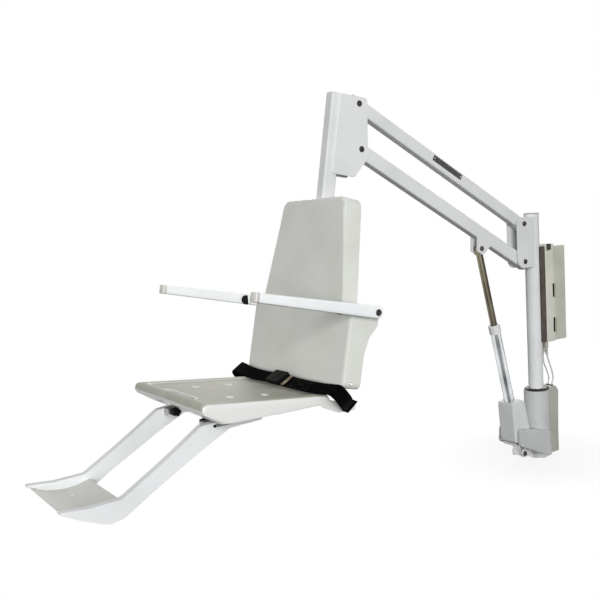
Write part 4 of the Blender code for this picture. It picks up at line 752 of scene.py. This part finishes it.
def drawn_metal(name, bright, dull, gloss, stretch, lean=0, metallic=1.0):
    """Metal with fine lines along the way that it was drawn or brushed; on the rod and tube, painted
    reflections.
    """
    material = bpy.data.materials.new(name)
    flow = tree_of(material)
    lines_and_reflection_bands = noise(flow, 60, 4, stretch, lean).between(0.40, 0.60)
    smear = noise(flow, 12, 3).between(0.35, 0.7)
    finished(name, flow, {
        "Base Color": (lines_and_reflection_bands * 0.75 + smear * 0.25).tint(bright, dull),
        "Metallic": metallic,
        "Roughness": lines_and_reflection_bands * 0.14 + smear * 0.06 + gloss,
        "Normal": bumped(flow, lines_and_reflection_bands, 0.08, 0.0003),
    })
    return material


PUSHER_LEAN = radians(-13.42)
STAINLESS = drawn_metal("brushed_stainless", seen(205, 205, 203), seen(168, 168, 166),
                        gloss=0.22, stretch=(1, 1, 0.08))
# The rod's and the tube's wide light and dark bands are painted reflections over drawn lines.
ROD_LINES_AND_REFLECTIONS = drawn_metal("pusher_rod_painted_reflections", seen(150, 143, 124), seen(58, 52, 42),
                        gloss=0.16, stretch=(2.2, 2.2, 0.02), lean=PUSHER_LEAN)
TUBE_LINES_AND_REFLECTIONS = drawn_metal("pusher_tube_painted_reflections", seen(232, 235, 236), seen(84, 88, 90),
                         gloss=0.20, stretch=(1.0, 1.0, 0.010), lean=PUSHER_LEAN)
BRONZE = drawn_metal("bearing_bronze", seen(176, 137, 84), seen(140, 104, 60),
                     gloss=0.26, stretch=(1, 1, 0.1))
BLACK_STEEL = drawn_metal("blackened_steel", seen(62, 57, 54), seen(36, 33, 31),
                          gloss=0.30, stretch=(1, 1, 0.5), metallic=0.7)
BRACKET_PAINT = drawn_metal("dark_bracket_paint", seen(66, 52, 46), seen(50, 40, 36),
                            gloss=0.42, stretch=(1, 1, 0.5), metallic=0.0)

# %% [markdown]
# ## Each part takes its finish
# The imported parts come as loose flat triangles. Welding their corners and splitting the
# shading only at real corners makes turned parts look round, and a narrow bevel on plates and
# bars gives their edges the small radius that catches light, all as modifiers, so that the
# parts' own shapes stay as they are. The seat's wide moulded radii come from a voxel grid that
# is grown, shrunk and relaxed.

# %% Which part takes which finish
SLOT_FINISH = {
    "white_coat": WHITE_COAT,
    "stainless": STAINLESS,
    "grey_cover": GREY_COVER,
    "bronze": BRONZE,
    "black_fixing": BLACK_STEEL,
    "dark_shell": REAR_SHADED_SHELL,
    "dark_bracket": BRACKET_PAINT,
    "box_plastic": BOX_SHELL,
    "chair_shell": BACK_SHELL,
    "black_plastic": BLACK_PLASTIC,
    "rubber_stop": RUBBER,
    "lead_cover": LEAD_FINISH,
    "webbing": WEB_FINISH,
}
OWN_FINISH = {
    "mast_cap": CAP_GREY,
    "battery_pack": PACK_SHELL,
    "actuator_housing": HOUSING_GREY,
    "actuator_rod": ROD_LINES_AND_REFLECTIONS,
    "actuator_tube": TUBE_LINES_AND_REFLECTIONS,
    "seat": SEAT_SHELL,
    "foot_plate": FOOT_SHELL,
    "footrest_leg_left": LEG_LIT_COAT,
    "footrest_leg_right": LEG_LIT_COAT,
    "armrest_left": ARMREST_LIT_COAT,
    "armrest_right": ARMREST_LIT_COAT,
}
print(len(SLOT_FINISH), "common finishes and", len(OWN_FINISH), "of one part alone")

# %% Rounding of edges and mouldings
EDGE_ROUND = {
    "footrest_leg_left": 0.0025,
    "footrest_leg_right": 0.0025,
    "head_plate_left": 0.0008,
    "head_plate_right": 0.0008,
    "mast_head_bracket": 0.0008,
    "foot_plate": 0.0010,
    "actuator_housing": 0.006,
    "drive_cover": 0.004,
    "rear_cover": 0.004,
    "control_box": 0.004,
    "battery_pack": 0.004,
    "armrest_left": 0.0012,
    "armrest_right": 0.0012,
}
MOULDED_ROUND = {"seat": 0.0024}
MOULDED_PASSES = 22
PIT_REACH = 0.003
MOULDED_SHARE = 0.4


def mould_round(node, voxel):
    """Rounds a moulding as a mould's radii do: grown, shrunk back and relaxed on a fine grid."""
    for step, reach in (("grow", PIT_REACH), ("shrink", -PIT_REACH)):
        grid = node.modifiers.new(step + "_grid", "REMESH")
        grid.mode = "VOXEL"
        grid.voxel_size = voxel
        grid.use_smooth_shade = True
        move = node.modifiers.new(step, "DISPLACE")
        move.mid_level = 0
        move.strength = reach
    relax = node.modifiers.new("relax", "SMOOTH")
    relax.iterations = MOULDED_PASSES
    thin = node.modifiers.new("thin", "DECIMATE")
    thin.ratio = MOULDED_SHARE


print("rounded edges on", len(EDGE_ROUND), "parts")

# %% Weld, shade and finish every part
WELD_REACH = 0.00002
BEVEL_ANGLE = radians(55)
CORNER_ANGLE = radians(34)
FLAT_WEIGHT = 90


def settle_shading(name, node):
    """Welds a part's triangles and shades it round, except at corners."""
    mesh = node.data
    for layer in ("custom_normal", "sharp_edge", "sharp_face"):
        if layer in mesh.attributes:
            mesh.attributes.remove(mesh.attributes[layer])
    weld = node.modifiers.new("weld", "WELD")
    weld.merge_threshold = WELD_REACH
    if name in MOULDED_ROUND:
        mould_round(node, MOULDED_ROUND[name])
        return
    if name in EDGE_ROUND:
        edges = node.modifiers.new("edges", "BEVEL")
        edges.width = EDGE_ROUND[name]
        edges.segments = 2
        edges.limit_method = "ANGLE"
        edges.angle_limit = BEVEL_ANGLE
    split = node.modifiers.new("corners", "EDGE_SPLIT")
    split.split_angle = CORNER_ANGLE
    flat = node.modifiers.new("flat_faces", "WEIGHTED_NORMAL")
    flat.mode = "FACE_AREA"
    flat.weight = FLAT_WEIGHT


for name, node in nodes.items():
    slot = node.data.materials[0].name.split(".")[0]
    node.material_slots[0].material = OWN_FINISH.get(name, SLOT_FINISH[slot])
    settle_shading(name, node)
print("finished", len(nodes), "parts")

# %% [markdown]
# ## Small plates, screws and slots
# The lift carries small parts that are too fine for the solids: a bare plate on the upper arm,
# dark sheets of painted shade in the finger slots beside the battery, and button-head screws.
# Each is a few rings of points with a skin over them, so that even a flat plate has a soft edge
# that catches light.

# %% Rings of a plate
ARC_STEPS = 5


def plate_rings(middle, along, across, length, height, thick, corner, soft):
    """A plate with round corners and a soft upper edge, as rings from its back to its face."""
    normal = along.cross(across)
    rings = []
    for rise, inset in ((0, 0), (thick - soft, 0), (thick - soft * 0.3, soft * 0.3), (thick, soft)):
        ring = []
        for quarter, (side, end) in enumerate(((1, 1), (-1, 1), (-1, -1), (1, -1))):
            for step in range(ARC_STEPS + 1):
                angle = (quarter + step / ARC_STEPS) * pi / 2
                u = side * (length / 2 - corner) + (corner - inset) * cos(angle)
                v = end * (height / 2 - corner) + (corner - inset) * sin(angle)
                ring.append(middle + along * u + across * v + normal * rise)
        rings.append(ring)
    return rings


print("a plate's corner has", ARC_STEPS, "steps")

# %% Rings of turned heads
RING_SIDES = 24
SCREW_PROFILE = ((0, 1, 0), (0.22, 1, 0), (0.48, 0.84, 0), (0.60, 0.56, 0), (0.60, 0.50, 6), (0.2, 0.47, 6))


def round_ring(middle, axis, radius, count=RING_SIDES, flats=0):
    """A ring of points round an axis, drawn in to a number of flats if asked."""
    side = axis.orthogonal().normalized()
    other = axis.cross(side)
    ring = []
    for k in range(count):
        angle = 2 * pi * k / count
        reach = radius
        if flats:
            turn = angle % (2 * pi / flats) - pi / flats
            reach = radius * cos(pi / flats) / cos(turn)
        ring.append(middle + (side * cos(angle) + other * sin(angle)) * reach)
    return ring


def button_screw(foot, axis, radius):
    """A domed screw head with a six-sided socket, as rings from its foot to the socket's floor."""
    return [round_ring(foot + axis * (rise * radius), axis, reach * radius, flats=flats)
            for rise, reach, flats in SCREW_PROFILE]


def fit(name, strands, material, body, looped=False):
    """A piece made of several skins, riding on a body."""
    made = piece(name, skin(name, strands, looped), material)
    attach(made, body)
    print(name, len(made.data.polygons), "faces on", body)


print("a screw head has", len(SCREW_PROFILE), "rings of", RING_SIDES, "points")

# %% Bare plate on the upper arm
AXIS_X, AXIS_Y, AXIS_Z = Vector((1, 0, 0)), Vector((0, 1, 0)), Vector((0, 0, 1))
ARM_LEAN = radians(28.55)
ARM_SIDE = 0.0175
UPPER_PIN = Vector((0, -0.078, 0.9753))
ARM_AWAY = Vector((0, -cos(ARM_LEAN), sin(ARM_LEAN)))
ARM_UP = Vector((0, sin(ARM_LEAN), cos(ARM_LEAN)))
PLATE_ALONG = 0.4665
PLATE_UP = 0.0055
PLATE_LENGTH = 0.160
PLATE_HEIGHT = 0.0215
PLATE_THICK = 0.0009
RIVET_INSET = 0.007
RIVET_RADIUS = 0.0024
GRAPHITE = drawn_metal("graphite_plate", seen(66, 66, 64), seen(44, 44, 43),
                       gloss=0.34, stretch=(0.05, 1, 1), lean=ARM_LEAN, metallic=0.3)

plate_middle = UPPER_PIN + ARM_AWAY * PLATE_ALONG + ARM_UP * PLATE_UP + AXIS_X * ARM_SIDE
plate = plate_rings(plate_middle, -ARM_AWAY, ARM_UP, PLATE_LENGTH, PLATE_HEIGHT, PLATE_THICK,
                    corner=0.002, soft=0.0004)
fit("arm_plate", [plate], GRAPHITE, "upper_arm")
rivets = []
for end in (-1, 1):
    off_middle = ARM_AWAY * (end * (PLATE_LENGTH / 2 - RIVET_INSET))
    foot = plate_middle + off_middle + AXIS_X * PLATE_THICK
    rivets.append(button_screw(foot, AXIS_X, RIVET_RADIUS))
fit("arm_plate_rivets", rivets, STAINLESS, "upper_arm")

# %% Painted shade in the finger slots beside the battery
BOX_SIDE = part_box("control_box")[1][0]
FINGER_SLOT_BACK = 0.0826
FINGER_SLOT_WIDE = 0.011
FINGER_SLOT_SPANS = ((0.517, 0.580), (0.663, 0.7213))

# Thin dark sheets on the box's sides stand for the shade inside the finger slots: painted shade.
slot_shade_sheets = []
for sign in (-1, 1):
    for low, high in FINGER_SLOT_SPANS:
        middle = Vector((sign * BOX_SIDE, FINGER_SLOT_BACK, (low + high) / 2))
        slot_shade_sheets.append(plate_rings(middle, AXIS_Z * sign, -AXIS_Y, high - low, FINGER_SLOT_WIDE,
                                 thick=0.0007, corner=FINGER_SLOT_WIDE * 0.45, soft=0.0004))
fit("finger_slot_painted_shade", slot_shade_sheets, RUBBER, "mast")

# %% [markdown]
# ## Boots and grommets on the leads
# A lead that is bent where it leaves its plug would break there, so a ribbed rubber boot lets
# it bend slowly, and a grommet keeps the edge of the rear cover from cutting it. Both could be
# turned about a straight axis, but the boot follows the lead, so its rings are set along it.

# %% Boots under the plugs and grommets on the rear cover
BOOT_LENGTH = 0.022
BOOT_RIBS = 5
BOOT_TOP = 0.0070
BOOT_TIP = 0.0042
BOOT_SIDES = 20
BOOT_STATIONS = LEAD_POINTS * 8
RIB_DEPTH = 0.0007
GROMMET = ((0, 0.0072), (0.0016, 0.0074), (0.0027, 0.0066),
           (0.0031, 0.0052), (0.0026, 0.0038), (0, 0.0033))
BOOT_RUBBER = moulded("boot_rubber", seen(196, 196, 186), seen(178, 178, 168),
                      gloss=0.5, grain=500, depth=0.0005)


def boot(route):
    """Rings along the first stretch of a lead, narrowing and ribbed."""
    line = smooth_line(route, BOOT_STATIONS)
    rings = []
    run = 0
    for here, after in zip(line, line[1:]):
        share = run / BOOT_LENGTH
        if share > 1:
            break
        rib = RIB_DEPTH * cos(2 * pi * BOOT_RIBS * share)
        reach = BOOT_TOP + (BOOT_TIP - BOOT_TOP) * share + rib
        rings.append(round_ring(here, (after - here).normalized(), reach, BOOT_SIDES))
        run += (after - here).length
    return rings


def grommet(spot):
    """Rings of a rubber ring that sits in a hole, from its outer foot over its top."""
    return [round_ring(spot + AXIS_Z * rise, AXIS_Z, reach) for rise, reach in GROMMET]


COVER_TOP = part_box("rear_cover")[1][2]
fit("lead_boots", [boot(route) for route in LEAD_ROUTES.values()], BOOT_RUBBER, "mast")
entries = [Vector((*route[-1][:2], COVER_TOP)) for route in LEAD_ROUTES.values()]
fit("lead_grommets", [grommet(spot) for spot in entries], RUBBER, "mast")

# %% [markdown]
# ## Weld beads
# The head bracket is welded to the mast and the two head plates to the chair post, and paint
# doesn't hide a weld: a rope of small overlapping puddles runs along each joint. A bump could
# suggest it, but a bead stands proud of the steel, so it is a skin with rippled rings.

# %% Places on the reclined chair
RECLINE = radians(11)
HEAD_PIN = Vector((0, -0.89667, 1.26873))
LEAN_FRONT = Vector((0, -cos(RECLINE), sin(RECLINE)))
LEAN_UP = Vector((0, sin(RECLINE), cos(RECLINE)))


def leaned(side, front, above):
    """A place on the reclined chair, from its lower head pin."""
    return HEAD_PIN + AXIS_X * side + LEAN_FRONT * front + LEAN_UP * above


print("the chair reclines", round(RECLINE * 180 / pi), "degrees")

# %% One weld bead
BEAD_STEP = 0.0012
BEAD_SIDES = 10
PUDDLE_PITCH = 0.0048
PUDDLE_LOW = 0.88
PUDDLE_SWELL = 0.16
BEAD_END = 0.35
BEAD_OPENING = 0.3


def bead(start, end, radius):
    """Rings of a weld from start to end, swelling at each puddle and closing at the ends."""
    way = end - start
    count = round(way.length / BEAD_STEP)
    rings = []
    for k in range(count + 1):
        swell = PUDDLE_LOW + PUDDLE_SWELL * abs(sin(pi * k * BEAD_STEP / PUDDLE_PITCH))
        closing = min(1, BEAD_END + BEAD_OPENING * min(k, count - k))
        reach = radius * swell * closing
        rings.append(round_ring(start + way * (k / count), way.normalized(), reach, BEAD_SIDES))
    return rings


print("a puddle is", round(PUDDLE_PITCH * 1000, 1), "mm long")

# %% Beads along the bracket and the head plates
bracket_low, bracket_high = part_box("mast_head_bracket")
BRACKET_BACK = -0.0126
BEAD_INSET = 0.004
BEAD_OUT = 0.0003
MAST_BEAD = 0.0027
POST_BEAD = 0.0024
POST_SIDE = 0.0200
POST_FRONT = 0.1084
HEAD_SPAN = (-0.099, 0.162)
mast_beads = []
post_beads = []
for sign in (-1, 1):
    side = sign * (bracket_high[0] + BEAD_OUT)
    foot = Vector((side, BRACKET_BACK, bracket_low[2] + BEAD_INSET))
    head = Vector((side, BRACKET_BACK, bracket_high[2] - BEAD_INSET))
    mast_beads.append(bead(foot, head, MAST_BEAD))
    foot, head = [leaned(sign * POST_SIDE, POST_FRONT, above) for above in HEAD_SPAN]
    post_beads.append(bead(foot, head, POST_BEAD))
fit("mast_weld_beads", mast_beads, WHITE_COAT, "mast")
fit("post_weld_beads", post_beads, WHITE_COAT, "chair")

# %% [markdown]
# ## Armrest ends and stops
# Each armrest is a hollow bar, closed at the front by a moulded plug, and a rubber tip on the
# stop beside its hinge takes the knock when it comes down. The plug is a plate with round
# corners that stands proud of the bar, and the tip is the same solid in another finish.

# %% Plugs in the armrests
TIP_FRONT = 0.533
BAR_MIDDLE = -0.539
PLUG_WIDE = 0.0314
PLUG_TALL = 0.0296
PLUG_DEEP = 0.0112
PLUG_PROUD = 0.0012
END_PLASTIC = moulded("armrest_plug_moulding", seen(233, 230, 225), seen(221, 217, 211),
                      gloss=0.42, grain=700, depth=0.0004)

for side in ("left", "right"):
    low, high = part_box("armrest_" + side)
    middle = leaned((low[0] + high[0]) / 2, TIP_FRONT - PLUG_DEEP + PLUG_PROUD, BAR_MIDDLE)
    rings = plate_rings(middle, AXIS_X, LEAN_UP, PLUG_WIDE, PLUG_TALL, PLUG_DEEP,
                        corner=0.006, soft=0.002)
    fit("armrest_plug_" + side, [rings], END_PLASTIC, "armrest_" + side)

# %% Rubber tips of the stops
STOP_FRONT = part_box("armrest_stop_left")[0][1]
TIP_REACH = 0.016
TIP_EDGE = 0.0008


def tipped_stop():
    """White paint with a black rubber sleeve over its front end."""
    material = bpy.data.materials.new("tipped_stop")
    flow = tree_of(material)
    along = own_place(flow).coordinate("Y")
    paint = along.between(STOP_FRONT + TIP_REACH, STOP_FRONT + TIP_REACH + TIP_EDGE)
    grain = noise(flow, 480, 2)
    shade = noise(flow, 22).between(0.35, 0.7)
    rubber = shade.tint(seen(30, 29, 28), seen(20, 20, 20))
    finished("tipped_stop", flow, {
        "Base Color": paint.tint(rubber, shade.tint(seen(240, 243, 244), seen(230, 233, 234))),
        "Roughness": grain * 0.1 + 0.56 - paint * 0.2,
        "Specular IOR Level": PAINT_SHINE,
        "Normal": bumped(flow, grain, 0.2, 0.0005),
    })
    return material


STOP_FINISH = tipped_stop()
for side in ("left", "right"):
    nodes["armrest_stop_" + side].material_slots[0].material = STOP_FINISH

# %% [markdown]
# ## Rims in the seat
# Water drains through four holes in the seat, and a hand slot at its front helps to swing the
# chair. Each opening has a smooth white rim, so that skin doesn't catch on an edge. A rim could
# be cut from a torus, but the slot isn't round, so one profile is carried round both outlines.

# %% A rim round an opening
# Each point of the profile is a rise, a share of the flange and a reach into the opening.
TREAD_SLOPE = 0.1136
RIM_STEPS = 16
RIM_PROFILE = ((-0.0016, 1, 0), (0.0005, 1, 0), (0.0011, 0.77, 0), (0.0012, 0.33, 0),
               (0.0009, 0, -0.0001), (0.0001, 0, -0.0010), (-0.0045, 0, -0.0013),
               (-0.0045, 0, -0.0006), (-0.0016, 0, -0.0004))


def seat_rim(middle, straight, radius, flange):
    """Rings of a rim round a hole, or round a slot whose ends lie that far from its middle."""
    normal = Vector((0, TREAD_SLOPE, 1)).normalized()
    back = normal.cross(AXIS_X)
    rings = []
    for rise, share, inwards in RIM_PROFILE:
        ring = []
        for sign in (1, -1):
            for step in range(RIM_STEPS):
                angle = pi * ((step + 0.5) / RIM_STEPS - 0.5)
                out = AXIS_X * cos(angle) + back * sin(angle)
                spot = AXIS_X * straight + out * (radius + flange * share + inwards)
                ring.append(Vector(middle) + spot * sign + normal * rise)
        rings.append(ring)
    return rings


print("a rim has", len(RIM_PROFILE), "rings of", 2 * RIM_STEPS, "points")

# %% Rims of the drain holes and the hand slot
DRAIN_RADIUS = 0.009
DRAIN_FLANGE = 0.003
DRAIN_SIDES = (-0.11, 0.11)
DRAIN_PLACES = ((-1.5157, 0.5358), (-1.3957, 0.5221))
HAND_SLOT_MIDDLE = (0, -1.6247, 0.5481)
HAND_SLOT_STRAIGHT = 0.0865
HAND_SLOT_RADIUS = 0.0105
HAND_SLOT_FLANGE = 0.0062
RIM_WHITE = moulded("seat_rim_moulding", seen(240, 241, 238), seen(231, 232, 229),
                    gloss=0.34, grain=700, depth=0.0003)

rims = []
for side in DRAIN_SIDES:
    for back, height in DRAIN_PLACES:
        rims.append(seat_rim((side, back, height), 0, DRAIN_RADIUS, DRAIN_FLANGE))
rims.append(seat_rim(HAND_SLOT_MIDDLE, HAND_SLOT_STRAIGHT, HAND_SLOT_RADIUS, HAND_SLOT_FLANGE))
fit("seat_rims", rims, RIM_WHITE, "chair", looped=True)

# %% [markdown]
# ## Stitches, tongue and screws on the chair
# The straps are sewn with a box and a cross at the buckle and at their anchors. A texture
# could draw thread, but each stitch is a small raised bar that catches light, so each one is a
# tiny capped skin placed on the strap's own stations. A steel tongue joins one strap to the
# buckle, and a screw holds each lower corner of the backrest.

# %% Thread sewn on the straps
STITCH_LENGTH = 0.0034
STITCH_PITCH = 0.0046
THREAD_RADIUS = 0.0005
THREAD_SIDES = 8
THREAD_RISE = 0.3
STITCH_PROFILE = ((0, 0.35), (0.12, 0.85), (0.5, 1), (0.88, 0.85), (1, 0.35))
SEAM_STEPS = 60
THREAD = moulded("sewing_thread", seen(58, 57, 55), seen(38, 38, 37),
                 gloss=0.7, grain=900, depth=0.0003, shine=0.15)


def on_strap(frames, station, across):
    """A place on a strap's upper face."""
    k = min(int(station), len(frames) - 2)
    share = station - k
    rise = STRAP_THICK / 2 + THREAD_RADIUS * THREAD_RISE
    spots = []
    for spot, wide, normal in frames[k:k + 2]:
        spots.append(spot + wide * (across * STRAP_WIDTH) + normal * rise)
    return spots[0].lerp(spots[1], share)


def stitch(start, end):
    """A short round bar with drawn-in ends."""
    way = (end - start).normalized()
    return [round_ring(start.lerp(end, share), way, THREAD_RADIUS * reach, THREAD_SIDES)
            for share, reach in STITCH_PROFILE]


def sewn_line(frames, start, end):
    """Stitches from one (station, across) place of a strap to another."""
    places = []
    for k in range(SEAM_STEPS + 1):
        station = start[0] + (end[0] - start[0]) * k / SEAM_STEPS
        across = start[1] + (end[1] - start[1]) * k / SEAM_STEPS
        places.append(on_strap(frames, station, across))
    count = max(1, int(line_length(places) / STITCH_PITCH))
    filled = STITCH_LENGTH / STITCH_PITCH
    stitches = []
    for k in range(count):
        first = places[round(SEAM_STEPS * k / count)]
        last = places[round(SEAM_STEPS * (k + filled) / count)]
        stitches.append(stitch(first, last))
    return stitches


print("a stitch is", round(STITCH_LENGTH * 1000, 1), "mm long")

# %% Boxes and crosses at the ends of the straps
SEWN_EDGE = 0.38
SEWN_PATCHES = ((7, 16), (78, 88))

stitches = []
for frames in STRAP_FRAMES.values():
    for low, high in SEWN_PATCHES:
        corners = [(low, -SEWN_EDGE), (low, SEWN_EDGE), (high, SEWN_EDGE), (high, -SEWN_EDGE)]
        pairs = list(zip(corners, corners[1:] + corners[:1]))
        pairs += [(corners[0], corners[2]), (corners[1], corners[3])]
        for start, end in pairs:
            stitches += sewn_line(frames, start, end)
fit("strap_stitches", stitches, THREAD, "chair")
print(len(stitches), "stitches")

# %% Tongue of the buckle
TONGUE_STATION = 2
TONGUE_STEEL = drawn_metal("tongue_steel", seen(172, 160, 140), seen(128, 116, 98),
                           gloss=0.26, stretch=(0.1, 1, 1))

spot, wide, normal = STRAP_FRAMES["belt_left"][TONGUE_STATION]
tongue = plate_rings(spot + normal * (STRAP_THICK / 2), wide.cross(normal), wide,
                     length=0.0165, height=0.046, thick=0.0018, corner=0.003, soft=0.0007)
fit("buckle_tongue", [tongue], TONGUE_STEEL, "chair")

# %% Screws in the backrest's lower corners
CORNER_SCREW = (0.2750, -1.1916, 0.5437)
SCREW_RADIUS = 0.0058

screws = []
for sign in (-1, 1):
    foot = Vector((sign * CORNER_SCREW[0], *CORNER_SCREW[1:]))
    screws.append(button_screw(foot, AXIS_X * sign, SCREW_RADIUS))
fit("backrest_screws", screws, STAINLESS, "chair")

# %% Growth of the object's bounding box
new_low, new_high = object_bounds()
sides = zip(new_low, new_high, cad_low, cad_high)
print("box grew by", [round(1000 * (b - a - d + c), 1) for a, b, c, d in sides], "mm")
